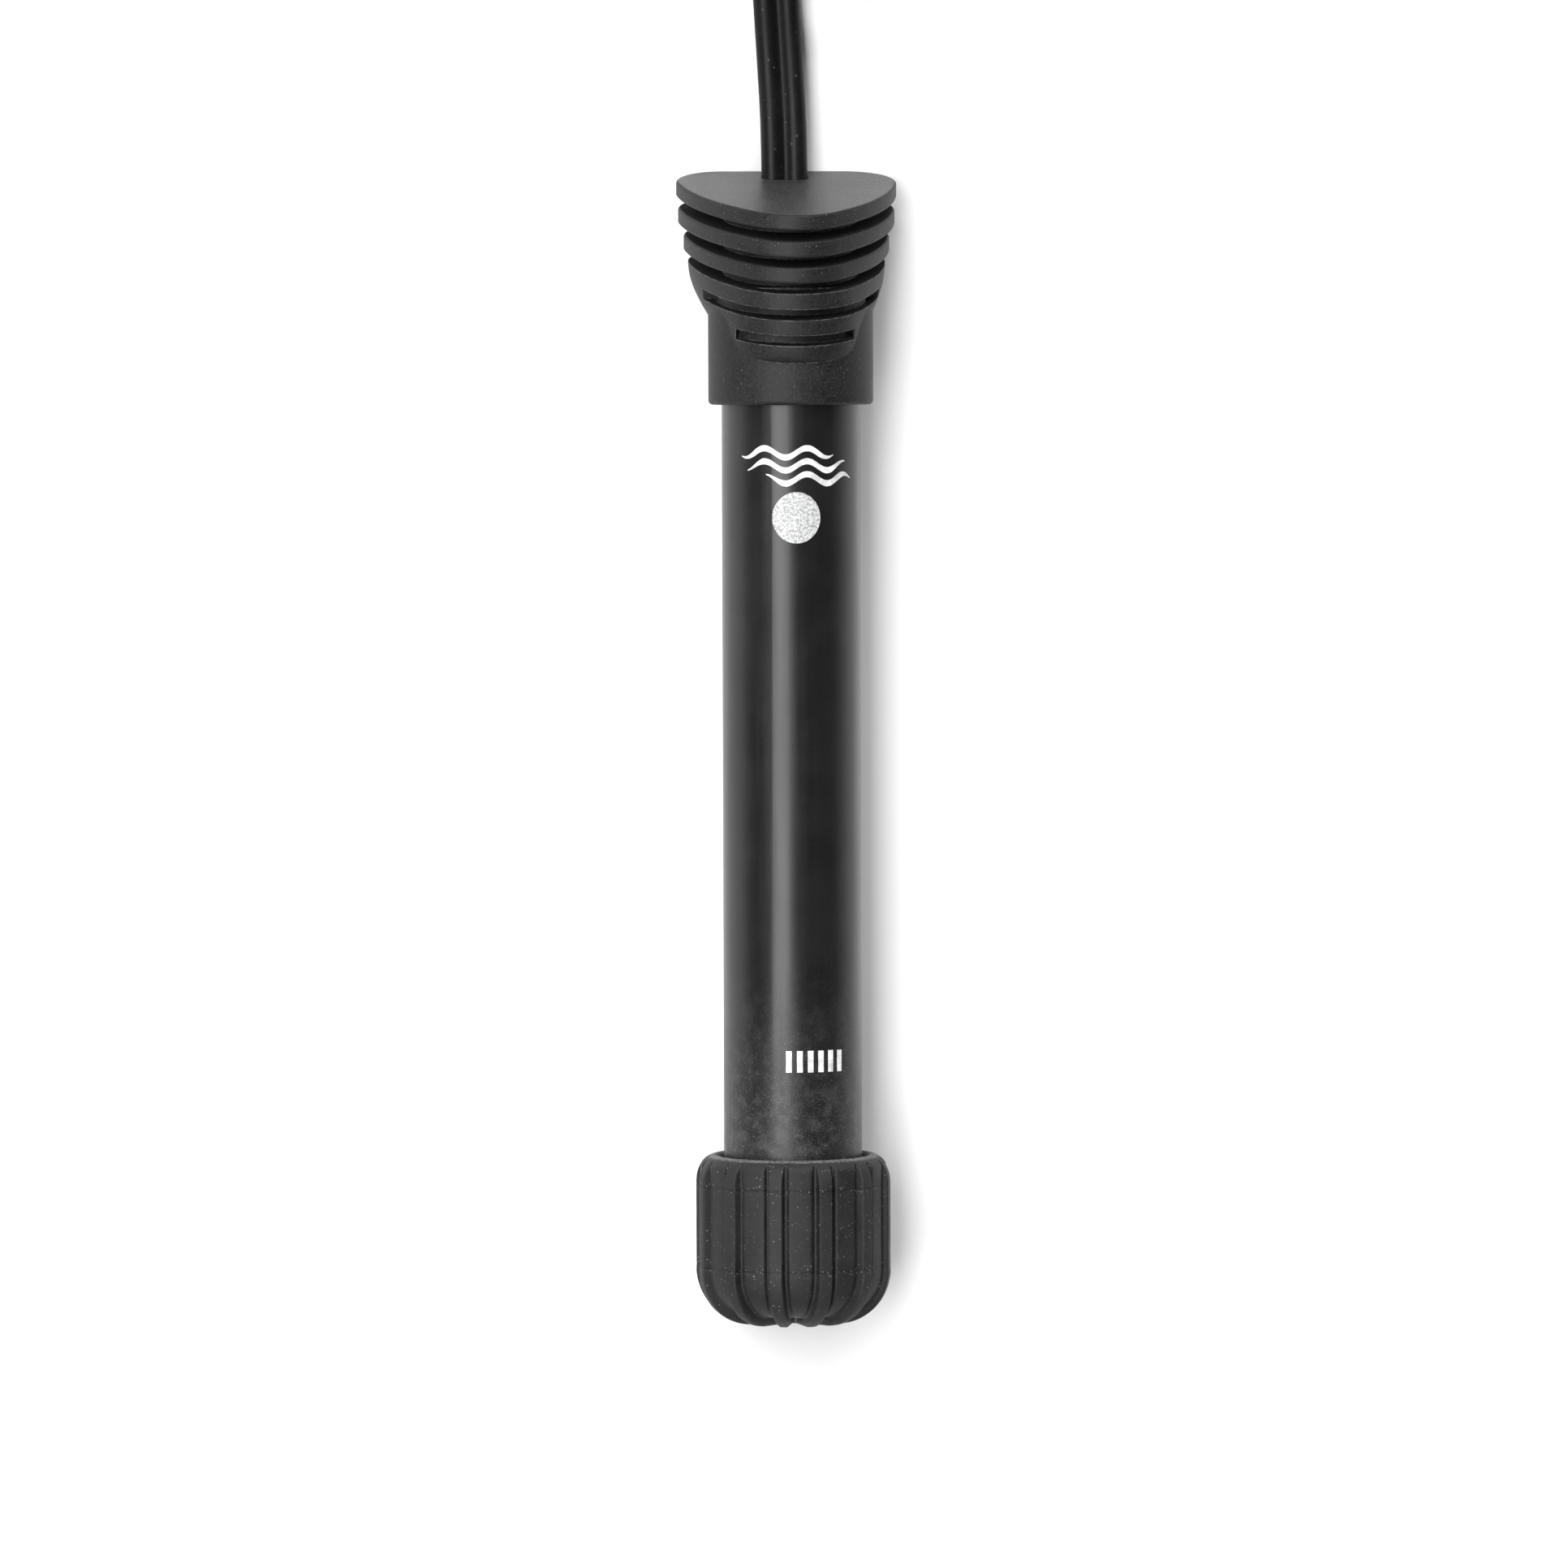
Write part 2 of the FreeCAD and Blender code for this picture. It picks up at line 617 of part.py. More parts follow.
def o_rings():
    ring_r = BORE_R - O_RING_R
    rings = [Part.makeTorus(ring_r, O_RING_R, Vector(0, 0, z), UP) for z in o_ring_heights()]
    return Part.makeCompound(rings)


def inner_lead(side):
    """One insulated wire from the lead's end, through the bung, to the board."""
    turn_z = TUBE_MOUTH + WIRE_TURN_RISE
    core_x = side * CORD_THICK / 2
    hole_x = side * WIRE_HOLE_X
    board_x = side * (WIRE_HOLE_X + WIRE_SPREAD)
    board_y = BOARD_FRONT - WIRE_R
    points = [
        Vector(core_x, CORD_SETBACK, CORD_END_Z),
        Vector(core_x, CORD_SETBACK, turn_z),
        Vector(hole_x, WIRE_HOLE_Y, turn_z),
        Vector(hole_x, WIRE_HOLE_Y, BUNG_BOTTOM - WIRE_TURN_DROP),
        Vector(board_x, board_y, BOARD_TOP - WIRE_LANDING[0]),
        Vector(board_x, board_y, BOARD_TOP - WIRE_LANDING[1]),
    ]
    return round_lead(points, WIRE_R)


def seal_bung():
    bung = cylinder(BORE_R, BUNG_BOTTOM, BUNG_TOP)
    for height in o_ring_heights():
        bung = bung.cut(tube(BORE_R + OVERRUN, BORE_R - 2 * O_RING_R, height - O_RING_GROOVE / 2,
                             height + O_RING_GROOVE / 2))
    for x in (-WIRE_HOLE_X, WIRE_HOLE_X):
        bung = bung.cut(cylinder(WIRE_R, BUNG_BOTTOM - OVERRUN, TUBE_MOUTH, x, WIRE_HOLE_Y))
    return bung


# Thermostat

def thermostat_board():
    return block((-BOARD_HALF_WIDTH, BOARD_HALF_WIDTH), (BOARD_FRONT, BOARD_FRONT + BOARD_THICK),
                 (BOARD_BOTTOM, BOARD_TOP)).cut(rivet_holes())


def rivet_places():
    """Rivets under the strip's anchor, the contact post and the bridge's feet."""
    anchor_z = STRIP_TOP + HINGE_GAP + STRIP_ANCHOR[1] / 2
    post_z = SPRING_ROOT - POST_HEIGHT / 2
    leg_x = STRIP_WIDTH / 2 + BRIDGE_SIDE_GAP + BRIDGE_LEG / 2
    return [(-RIVET_SPREAD, anchor_z), (RIVET_SPREAD, anchor_z), (0.0, post_z),
            (-leg_x, SCREW_Z), (leg_x, SCREW_Z)]


def rivet_holes():
    front = BOARD_FRONT - OVERRUN
    back = BOARD_FRONT + BOARD_THICK + OVERRUN
    holes = [rod(RIVET_R, front, back, z, x) for x, z in rivet_places()]
    return Part.makeCompound(holes)


def board_rivets():
    rivets = []
    for x, z in rivet_places():
        shank = rod(RIVET_R, BOARD_FRONT, BOARD_FRONT + BOARD_THICK, z, x)
        head_back = BOARD_FRONT + BOARD_THICK
        head = rod(RIVET_HEAD_R, head_back, head_back + RIVET_HEAD_THICK, z, x)
        rivets.append(fused([shank, head]))
    return Part.makeCompound(rivets)


def strip_anchor():
    width, height = STRIP_ANCHOR
    low = STRIP_TOP + HINGE_GAP
    return block((-width / 2, width / 2), (-STRIP_FRONT, BOARD_FRONT), (low, low + height))


def bimetal_strip():
    return block((-STRIP_WIDTH / 2, STRIP_WIDTH / 2), (-STRIP_FRONT, STRIP_BACK),
                 (STRIP_BOTTOM, STRIP_TOP))


def moving_contact():
    return rod(CONTACT_R, STRIP_BACK, STRIP_BACK + CONTACT_THICK, CONTACT_Z)


def fixed_contact():
    return rod(CONTACT_R, SPRING_FRONT - CONTACT_THICK, SPRING_FRONT, CONTACT_Z)


def contact_spring():
    return block((-STRIP_WIDTH / 2, STRIP_WIDTH / 2), (SPRING_FRONT, SPRING_FRONT + STRIP_THICK),
                 (SPRING_ROOT + HINGE_GAP, SPRING_ROOT + SPRING_LENGTH))


def contact_post():
    half = STRIP_WIDTH / 2
    return block((-half, half), (SPRING_FRONT, BOARD_FRONT),
                 (SPRING_ROOT - POST_HEIGHT, SPRING_ROOT))


def bridge_front():
    return SPRING_FRONT - BRIDGE_RISE - BRIDGE_THICK


def calibration_screw():
    tip = SPRING_FRONT - CONTACT_GAP
    head_back = bridge_front() - SCREW_FIT
    shank = rod(SCREW_R, head_back, tip, SCREW_Z)
    head = rod(SCREW_HEAD_R, head_back - SCREW_HEAD_THICK, head_back, SCREW_Z)
    slot_front = head_back - SCREW_HEAD_THICK
    slot = block((-SCREW_HEAD_R, SCREW_HEAD_R), (slot_front, slot_front + SCREW_HEAD_THICK / 2),
                 (SCREW_Z - SCREW_SLOT / 2, SCREW_Z + SCREW_SLOT / 2))
    return fused([shank, head]).cut(slot)


def screw_bridge():
    inner = STRIP_WIDTH / 2 + BRIDGE_SIDE_GAP
    outer = inner + BRIDGE_LEG
    z_range = (SCREW_Z - BRIDGE_HEIGHT / 2, SCREW_Z + BRIDGE_HEIGHT / 2)
    front = bridge_front()
    whole = block((-outer, outer), (front, BOARD_FRONT), z_range)
    under = block((-inner, inner), (front + BRIDGE_THICK, BOARD_FRONT), z_range)
    return whole.cut(under).cut(rod(SCREW_R + SCREW_FIT, front - OVERRUN, BOARD_FRONT, SCREW_Z))


def snap_magnet():
    width, depth, height = MAGNET
    low = CONTACT_Z + MAGNET_RISE
    return block((-width / 2, width / 2), (BOARD_FRONT - depth, BOARD_FRONT), (low, low + height))


def thermal_fuse():
    low = BOARD_BOTTOM + FUSE_RISE
    return cylinder(FUSE_R, low, low + FUSE_LENGTH, FUSE_X, BOARD_FRONT - FUSE_R)


def lamp_resistor():
    low = BOARD_BOTTOM + RESISTOR_RISE
    return cylinder(RESISTOR_R, low, low + RESISTOR_LENGTH,
                    BOARD_HALF_WIDTH - RESISTOR_R - RESISTOR_EDGE, BOARD_FRONT - RESISTOR_R)


def indicator_lamp():
    low = WINDOW_Z - LAMP_LENGTH / 2
    bulb = cylinder(LAMP_R, low, low + LAMP_LENGTH, 0, LAMP_Y)
    top = low + LAMP_LENGTH
    ends = [e for e in bulb.Edges if abs(e.BoundBox.ZMax - top) < SAME_HEIGHT]
    return bulb.makeFillet(LAMP_TIP_R, ends)


def lamp_holder():
    z_range = (WINDOW_Z - HOLDER_HEIGHT / 2, WINDOW_Z + HOLDER_HEIGHT / 2)
    half = HOLDER_HALF_WIDTH
    back_of_lamp = LAMP_Y + LAMP_R
    whole = block((-half, half), (LAMP_Y + HOLDER_SEAT, BOARD_FRONT), z_range)
    inner = half - HOLDER_WALL
    under = block((-inner, inner), (back_of_lamp + HOLDER_BACK, BOARD_FRONT), z_range)
    seat = cylinder(LAMP_R, z_range[0], z_range[1], 0, LAMP_Y)
    return whole.cut(under).cut(seat)


# Heating element

def disc(low, holes):
    plate = cylinder(BORE_R - SLEEVE_FIT, low, low + DISC_THICK)
    return plate.cut(Part.makeCompound(holes)) if holes else plate


def ceramic_core():
    core = cylinder(CORE_R, CORE_BOTTOM, CORE_TOP)
    bore = cylinder(CORE_BORE_R, CORE_BOTTOM, CORE_TOP)
    width, height = CORE_SLOT
    slot = block((-CORE_R - OVERRUN, 0), (-width / 2, width / 2), (CORE_BOTTOM, CORE_BOTTOM + height))
    return core.cut(bore).cut(slot)


def heating_coil():
    helix = Part.makeHelix(COIL_PITCH, COIL_TURNS * COIL_PITCH, COIL_R)
    first = helix.Edges[0]
    tangent = first.tangentAt(first.FirstParameter)
    start = first.valueAt(first.FirstParameter)
    ring = Part.Wire(Part.Circle(start, tangent, COIL_WIRE_R).toShape())
    coil = Part.Wire(helix.Edges).makePipeShell([ring], True, True)
    coil.rotate(Vector(0, 0, 0), UP, 180)
    coil.translate(UP * COIL_BOTTOM)
    return coil


def element_leads():
    """The bare wire up to the fuse, and the return wire up through the core's bore."""
    fuse_y = BOARD_FRONT - FUSE_R
    rise = [
        Vector(-COIL_R, 0, COIL_TOP + LEAD_R),
        Vector(-COIL_R, LEAD_NUDGE, CORE_TOP + DISC_THICK),
        Vector(FUSE_X, fuse_y, CORE_TOP + DISC_THICK + LEAD_RISE[0]),
        Vector(FUSE_X, fuse_y, BOARD_BOTTOM + FUSE_RISE),
    ]
    slot_z = CORE_BOTTOM + CORE_SLOT[1] / 2
    back = [
        Vector(-COIL_R, 0, COIL_BOTTOM - LEAD_R),
        Vector(-COIL_R, LEAD_NUDGE, slot_z),
        Vector(0, 0, slot_z),
        Vector(0, LEAD_NUDGE, CORE_TOP + DISC_THICK + LEAD_RISE[1]),
        Vector(LEAD_LANDING_X[0], BOARD_FRONT - LEAD_R, BOARD_BOTTOM - LEAD_LANDING[0]),
        Vector(LEAD_LANDING_X[1], BOARD_FRONT - LEAD_R, BOARD_BOTTOM + LEAD_LANDING[1]),
    ]
    return Part.makeCompound([round_lead(rise, LEAD_R), round_lead(back, LEAD_R)])


def sand_fill():
    return tube(BORE_R - SLEEVE_FIT, COIL_R + COIL_WIRE_R + SAND_GAP, CORE_BOTTOM, CORE_TOP)


def bottom_cushion():
    return cylinder(BORE_R - SLEEVE_FIT, INNER_FLOOR, LOWER_DISC_Z)


# The lead outside the cap, in the part's own frame

def cord_lead():
    """From inside the cap, out of its tilted top and down to the table."""
    half = OVERALL_LENGTH / 2
    points = [
        Vector(0, CORD_END_Z - half, CORD_EXIT_Z),
        Vector(0, PLATE_TOP - half + 8.0, CORD_EXIT_Z),
        Vector(-0.7, PLATE_TOP - half + 22.5, 3.7),
        Vector(-1.5, HANK_START, 2.1),
    ]
    return flat_lead(points, RIGHT, "cord_lead")


def hank_half(x_sign):
    """One side of the hank's outline, from the far end round to the near end."""
    swing = HANK_LOOP_R - HANK_WAIST_HALF
    reach = WAIST_Y - NEAR_LOOP_Y
    bend = 2 * math.atan(swing / reach)
    bend_r = reach / (2 * math.sin(bend))
    middle_x = (HANK_LOOP_R + HANK_WAIST_HALF) / 2
    loop_out = bend_r * (1 - math.cos(bend / 2))
    loop_along = bend_r * math.sin(bend / 2)

    def point(x, y):
        return Vector(x_sign * x, y, 0)

    edges = []
    for loop_y, way in ((FAR_LOOP_Y, 1), (NEAR_LOOP_Y, -1)):
        start = point(0, loop_y + way * HANK_LOOP_R)
        side = point(HANK_LOOP_R, loop_y)
        centre = point(middle_x, WAIST_Y + way * reach / 2)
        waist = point(HANK_WAIST_HALF, WAIST_Y)
        round_end = point(HANK_LOOP_R * math.sqrt(0.5), loop_y + way * HANK_LOOP_R * math.sqrt(0.5))
        upper = point(HANK_LOOP_R - loop_out, loop_y - way * loop_along)
        lower = point(HANK_WAIST_HALF + loop_out, WAIST_Y + way * loop_along)
        edges.append([Part.Arc(start, round_end, side).toShape(),
                      Part.Arc(side, upper, centre).toShape(),
                      Part.Arc(centre, lower, waist).toShape()])
    return edges


def cord_hank():
    """The outer shape of the tied hank, taller where its turns lie over the lead."""
    far_left, near_left = hank_half(-1)
    far_right, near_right = hank_half(1)
    outline = Part.Wire(Part.__sortEdges__(far_left + near_left + far_right + near_right))
    body = Part.Face(outline).extrude(UP * HANK_HEIGHT)
    near_end = cylinder(HANK_LOOP_R, 0, HANK_NEAR_HEIGHT, 0, NEAR_LOOP_Y)
    near_range = (HANK_START - OVERRUN, HANK_START + HANK_NEAR_REACH)
    near_end = near_end.common(block((-REACH, REACH), near_range, (-OVERRUN, REACH)))
    strap_range = (WAIST_Y - STRAP_WIDTH / 2, WAIST_Y + STRAP_WIDTH / 2)
    band = block((-REACH, REACH), strap_range, (-OVERRUN, REACH))
    return fused([body, near_end]).cut(band.cut(strap_inside()))


def strap_band(margin, low, high):
    """A round-cornered block as long as the strap is wide, round the hank's waist."""
    half = HANK_WAIST_HALF + STRAP_FIT + margin
    band = block((-half, half), (WAIST_Y - STRAP_WIDTH / 2, WAIST_Y + STRAP_WIDTH / 2),
                 (low, high))
    return band.makeFillet(STRAP_CORNER + margin, lengthwise_edges(band))


def strap_inside():
    return strap_band(0, STRAP_THICK, HANK_HEIGHT)


def lengthwise_edges(shape):
    return [e for e in shape.Edges if abs(e.tangentAt(e.FirstParameter).y) > 0.99]


def cord_tie():
    return strap_band(STRAP_THICK, 0, HANK_HEIGHT + STRAP_THICK).cut(strap_inside())


def cord_tail():
    """From the hank's last turn up to the plug, which lies on the hank's waist."""
    points = [
        Vector(18.8, WAIST_Y + 53.5, 12.2),
        Vector(18.2, WAIST_Y + 36.0, 16.6),
        Vector(1.5, WAIST_Y + 16.0, PLUG_Z - 0.6),
        Vector(0, PLUG_BACK_Y + PLUG_NECK - CORD_IN_NECK, PLUG_Z),
    ]
    return flat_lead(points, UP, "cord_tail")


def neck_section(size, y):
    """The strain relief's rounded section, as tall and wide as size says."""
    r = size[1] / 2
    straight = size[0] / 2 - r
    top, bottom = Vector(0, y, PLUG_Z + straight), Vector(0, y, PLUG_Z - straight)
    side = RIGHT * r
    return Part.Wire([Part.makeLine(bottom + side, top + side),
                      Part.Arc(top + side, top + UP * r, top - side).toShape(),
                      Part.makeLine(top - side, bottom - side),
                      Part.Arc(bottom - side, bottom - UP * r, bottom + side).toShape()])


def plug_body():
    width, length, thick = PLUG_SIZE
    body = block((-width / 2, width / 2), (PLUG_BACK_Y - length, PLUG_BACK_Y),
                 (PLUG_Z - thick / 2, PLUG_Z + thick / 2))
    body = body.makeFillet(PLUG_EDGE, lengthwise_edges(body))
    neck = Part.makeLoft([neck_section(PLUG_NECK_ROOT, PLUG_BACK_Y - OVERRUN),
                          neck_section(PLUG_NECK_SIZE, PLUG_BACK_Y + PLUG_NECK)], True, True)
    blades = Part.makeCompound(blade_solids())
    return fused([body, neck]).cut(blades)


def blade_solids():
    thick, length, width = BLADE
    face_y = PLUG_BACK_Y - PLUG_SIZE[1]
    solids = []
    for side in (-1, 1):
        x = side * BLADE_SPACING / 2
        solids.append(block((x - thick / 2, x + thick / 2), (face_y - length, face_y + BLADE_ROOT),
                            (PLUG_Z - width / 2, PLUG_Z + width / 2)))
    return solids


def main():
    os.makedirs("parts", exist_ok=True)
    wires = {"inner_lead_live": inner_lead(-1), "inner_lead_neutral": inner_lead(1)}
    leads = element_leads()
    heater = {
        "casing_tube": casing_tube(),
        "light_window": light_window(),
        "foot_guard": foot_guard(),
        "head_cap": head_cap(),
        "cord_anchor": cord_anchor(),
        "seal_bung": seal_bung(),
        "bung_o_rings": o_rings(),
        "thermostat_board": thermostat_board(),
        "board_rivets": board_rivets(),
        "strip_anchor": strip_anchor(),
        "bimetal_strip": bimetal_strip(),
        "moving_contact": moving_contact(),
        "fixed_contact": fixed_contact(),
        "contact_spring": contact_spring(),
        "contact_post": contact_post(),
        "calibration_screw": calibration_screw(),
        "screw_bridge": screw_bridge(),
        "snap_magnet": snap_magnet(),
        "thermal_fuse": thermal_fuse(),
        "lamp_resistor": lamp_resistor(),
        "indicator_lamp": indicator_lamp(),
        "lamp_holder": lamp_holder(),
        "ceramic_core": ceramic_core(),
        "heating_coil": heating_coil(),
        "upper_disc": disc(CORE_TOP, [leads]),
        "lower_disc": disc(LOWER_DISC_Z, []),
        "element_leads": leads,
        "sand_fill": sand_fill(),
        "bottom_cushion": bottom_cushion(),
    }
    heater.update(wires)
    for node, shape in heater.items():
        save(lay_down(shape), node)
    on_the_table = {
        "cord_lead": cord_lead(),
        "cord_hank": cord_hank(),
        "cord_tie": cord_tie(),
        "cord_tail": cord_tail(),
        "plug_body": plug_body(),
        "plug_blades": Part.makeCompound(blade_solids()),
    }
    for node, shape in on_the_table.items():
        save(shape, node)


main()
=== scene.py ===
import math

import bmesh
import bpy
from mathutils import Matrix, Vector


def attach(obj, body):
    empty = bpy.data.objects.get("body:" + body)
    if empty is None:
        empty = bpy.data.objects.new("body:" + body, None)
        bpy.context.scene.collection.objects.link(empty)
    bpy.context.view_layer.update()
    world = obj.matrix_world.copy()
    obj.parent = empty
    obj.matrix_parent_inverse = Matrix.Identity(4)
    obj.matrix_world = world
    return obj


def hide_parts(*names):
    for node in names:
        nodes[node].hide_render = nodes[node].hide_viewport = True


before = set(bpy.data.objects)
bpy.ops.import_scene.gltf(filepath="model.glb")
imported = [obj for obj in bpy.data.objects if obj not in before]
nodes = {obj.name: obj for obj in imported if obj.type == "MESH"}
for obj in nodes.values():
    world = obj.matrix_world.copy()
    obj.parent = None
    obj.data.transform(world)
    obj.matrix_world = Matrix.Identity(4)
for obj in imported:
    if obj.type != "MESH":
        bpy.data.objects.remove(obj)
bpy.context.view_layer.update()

MM = 0.001

# Camera
CAMERA_AT = (-0.11935, 0.06924, 1.52435)
CAMERA_TURN = (-0.0498, -0.078, -0.0071)
CAMERA_LENS = 213.6

# Lead
CORD_THICK = 3.8
LEAD_ROUTE = [(0, 80.015, 5.2125), (0, 98.415, 5.2125), (-0.7, 112.915, 3.7), (-1.5, 128, 2.1)]
ENTRY_ROUTE = [(-1.9, 146, 2.4), (-2.5, 166, 3.5), (-3.0, 186, 4.5)]
TAIL_ROUTE = [(18.2, 239.0, 16.6), (1.5, 219.0, 23.6), (0, 200.0, 24.2)]
NEAR_Y, WAIST_Y, FAR_Y = 160.7, 203.0, 245.3
LOOP_R = 22.8
TURN_PITCH = 4.0
WAIST_X = 35.28
WAIST_R = 32.28
LOWER_Z, UPPER_Z = 3.9, 11.5
LAST_TURN_X, LAST_TURN_Z = -4.0, 13.8

# Strap: the middle line of its loop, seen along it, and its weave
STRAP_BOX = ((-13.5, 0.5), (13.5, 16.9))
STRAP_CORNER = 2.5
STRAP_WIDTH = 9.8
WEAVE_STEP = 0.42

SHEATH_R = 11.25
AXIS_Z = 15.7125

# Foot guard
GUARD_TIP_Y = -93.985
GUARD_R = 16.0
GUARD_HEIGHT = 27.6
FOOT_FLAT_R, FOOT_HEIGHT = 7.5, 9.1
SHOULDER = (3.2, 4.8)
PANEL_DEPTH, GROOVE_DEPTH, FOOT_DEPTH = 0.85, 1.5, 1.5
RIBS = 12
RIB_STATIONS = [0, 0.55, 0.9, 1.02, 1.10, 1.18, 1.26, 1.36, 1.6, 1.78, 1.88, 1.98, 2.08, 2.2, 2.7,
                3.4]
RIBBED_HALF = 2.2
GAP_MIDDLE = 4.14
GROOVE_START, GROOVE_RUN = 1.02, 0.34
PANEL_START, PANEL_RUN = 1.78, 0.42
CROWDED_SHARE = 0.82
PLAIN_TIP_R, TIP_FADE = 1.5, 5.0
DENT_DEPTH, DENT_WIDTH = 0.07, 0.07
EDGE_SOFTENED, EDGE_DROP = 0.3, 0.05
TIP_RADII = (0.6, 1.6, 2.6, 3.4, 4.2, 5.0, 5.7, 6.3, 6.9)
TIP_ROWS, SHOULDER_ROWS = 22, 34
MOULD_LINES = (9.6, 22.85)
RIM_Y = (GUARD_TIP_Y + GUARD_HEIGHT) * MM

# The surroundings: bright near the horizon, dim overhead and dim towards the foot
WORLD_FADE = (0.0, 0.34, 0.9, 0.07)
FOOT_FADE = (-0.9, -0.1, 0.15, 1.0)

collection = bpy.context.scene.collection

# The cap's top face leans from +Y towards +Z by the fins' tilt
FIN_TILT = math.radians(12.8)
TOP_FACING = (0.0, math.cos(FIN_TILT), math.sin(FIN_TILT))
CAP_TOP_Y = 90.415
TOP_PLANE = (CAP_TOP_Y * TOP_FACING[1] + AXIS_Z * TOP_FACING[2]) * MM


# Helpers

def smooth(t):
    t = min(1.0, max(0.0, t))
    return t * t * (3 - 2 * t)


def mm(point):
    return Vector(point) * MM


def mesh_object(name, verts, faces, material, body="heater", smooth_shade=True):
    """A mesh in millimetres in the row frame, as a piece riding on a body."""
    mesh = bpy.data.meshes.new(name)
    mesh.from_pydata([mm(v) for v in verts], [], faces)
    mesh.validate()
    shell = bmesh.new()
    shell.from_mesh(mesh)
    bmesh.ops.recalc_face_normals(shell, faces=shell.faces)
    shell.to_mesh(mesh)
    shell.free()
    if smooth_shade:
        mesh.shade_smooth()
    else:
        mesh.shade_flat()
    mesh.materials.append(material)
    piece = bpy.data.objects.new(name, mesh)
    collection.objects.link(piece)
    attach(piece, body)
    return piece


def ring_faces(rings, around, closed_ends=True):
    """Quads between rings of the same number of vertices, with a face over each end."""
    faces = []
    for i in range(rings - 1):
        for j in range(around):
            k = (j + 1) % around
            faces.append((i * around + j, i * around + k, (i + 1) * around + k,
                          (i + 1) * around + j))
    if closed_ends:
        faces.append(tuple(reversed(range(around))))
        faces.append(tuple((rings - 1) * around + j for j in range(around)))
    return faces


# Materials

RANGE_SOCKETS = ("From Min", "From Max", "To Min", "To Max")


class Tree:
    """A material's nodes, made one at a time."""

    def __init__(self, name):
        self.material = bpy.data.materials.new(name)
        self.material.use_nodes = True
        self.nodes = self.material.node_tree.nodes
        self.links = self.material.node_tree.links
        self.shader = self.nodes["Principled BSDF"]
        self.place = self.add("ShaderNodeTexCoord").outputs["Object"]

    def add(self, kind, **values):
        node = self.nodes.new(kind)
        for key, value in values.items():
            setattr(node, key, value)
        return node

    def feed(self, node, socket, value):
        if isinstance(value, bpy.types.NodeSocket):
            self.links.new(value, node.inputs[socket])
        else:
            node.inputs[socket].default_value = value

    def math(self, operation, a, b=0.0, clamp=False):
        node = self.add("ShaderNodeMath", operation=operation, use_clamp=clamp)
        self.feed(node, 0, a)
        self.feed(node, 1, b)
        return node.outputs[0]

    def noise(self, size, detail=3.0, stretch=None, distortion=0.0):
        """Noise with features about size millimetres across."""
        place = self.place
        if stretch:
            scaled = self.add("ShaderNodeMapping")
            self.feed(scaled, "Vector", place)
            scaled.inputs["Scale"].default_value = stretch
            place = scaled.outputs[0]
        node = self.add("ShaderNodeTexNoise")
        self.feed(node, "Vector", place)
        node.inputs["Scale"].default_value = 1 / (size * MM)
        node.inputs["Detail"].default_value = detail
        node.inputs["Distortion"].default_value = distortion
        return node.outputs["Fac"]

    def spread(self, value, low, high, to_low=0.0, to_high=1.0):
        node = self.add("ShaderNodeMapRange", interpolation_type="SMOOTHSTEP")
        self.feed(node, "Value", value)
        for socket, number in zip(RANGE_SOCKETS, (low, high, to_low, to_high)):
            node.inputs[socket].default_value = number
        return node.outputs[0]

    def mix(self, factor, a, b):
        node = self.add("ShaderNodeMix", data_type="RGBA")
        self.feed(node, 0, factor)
        for socket, value in ((6, a), (7, b)):
            self.feed(node, socket, value if isinstance(value, bpy.types.NodeSocket)
                      else (*value, 1.0))
        return node.outputs[2]

    def specks(self, size, share, dot=0.3):
        """Round specks on a share of the cells, each about dot of a cell wide."""
        cells = self.add("ShaderNodeTexVoronoi")
        self.feed(cells, "Vector", self.place)
        cells.inputs["Scale"].default_value = 1 / (size * MM)
        inside = self.spread(cells.outputs["Distance"], dot * 0.5, dot, 1.0, 0.0)
        split = self.add("ShaderNodeSeparateColor")
        self.feed(split, 0, cells.outputs["Color"])
        chosen = self.math("LESS_THAN", split.outputs[0], share)
        return self.math("MULTIPLY", inside, chosen)

    def worn_edges(self, radius):
        """1 along convex edges, from how far a rounded normal turns from the true one."""
        rounded = self.add("ShaderNodeBevel", samples=4)
        rounded.inputs["Radius"].default_value = radius * MM
        normal = self.add("ShaderNodeNewGeometry").outputs["Normal"]
        turn = self.add("ShaderNodeVectorMath", operation="DOT_PRODUCT")
        self.feed(turn, 0, rounded.outputs[0])
        self.feed(turn, 1, normal)
        return self.spread(turn.outputs["Value"], 0.80, 0.985, 1.0, 0.0)

    def facing(self, way, low, high):
        """1 where the surface faces a direction, 0 where it turns away."""
        turn = self.add("ShaderNodeVectorMath", operation="DOT_PRODUCT")
        self.feed(turn, 0, self.add("ShaderNodeNewGeometry").outputs["Normal"])
        turn.inputs[1].default_value = way
        return self.spread(turn.outputs["Value"], low, high)

    def bump(self, height, distance, strength=1.0, round_over=0.0):
        node = self.add("ShaderNodeBump")
        self.feed(node, "Height", height)
        if round_over:
            rounded = self.add("ShaderNodeBevel", samples=4)
            rounded.inputs["Radius"].default_value = round_over * MM
            self.links.new(rounded.outputs[0], node.inputs["Normal"])
        node.inputs["Distance"].default_value = distance * MM
        node.inputs["Strength"].default_value = strength
        self.links.new(node.outputs[0], self.shader.inputs["Normal"])


def grey(value):
    return (value, value, value)


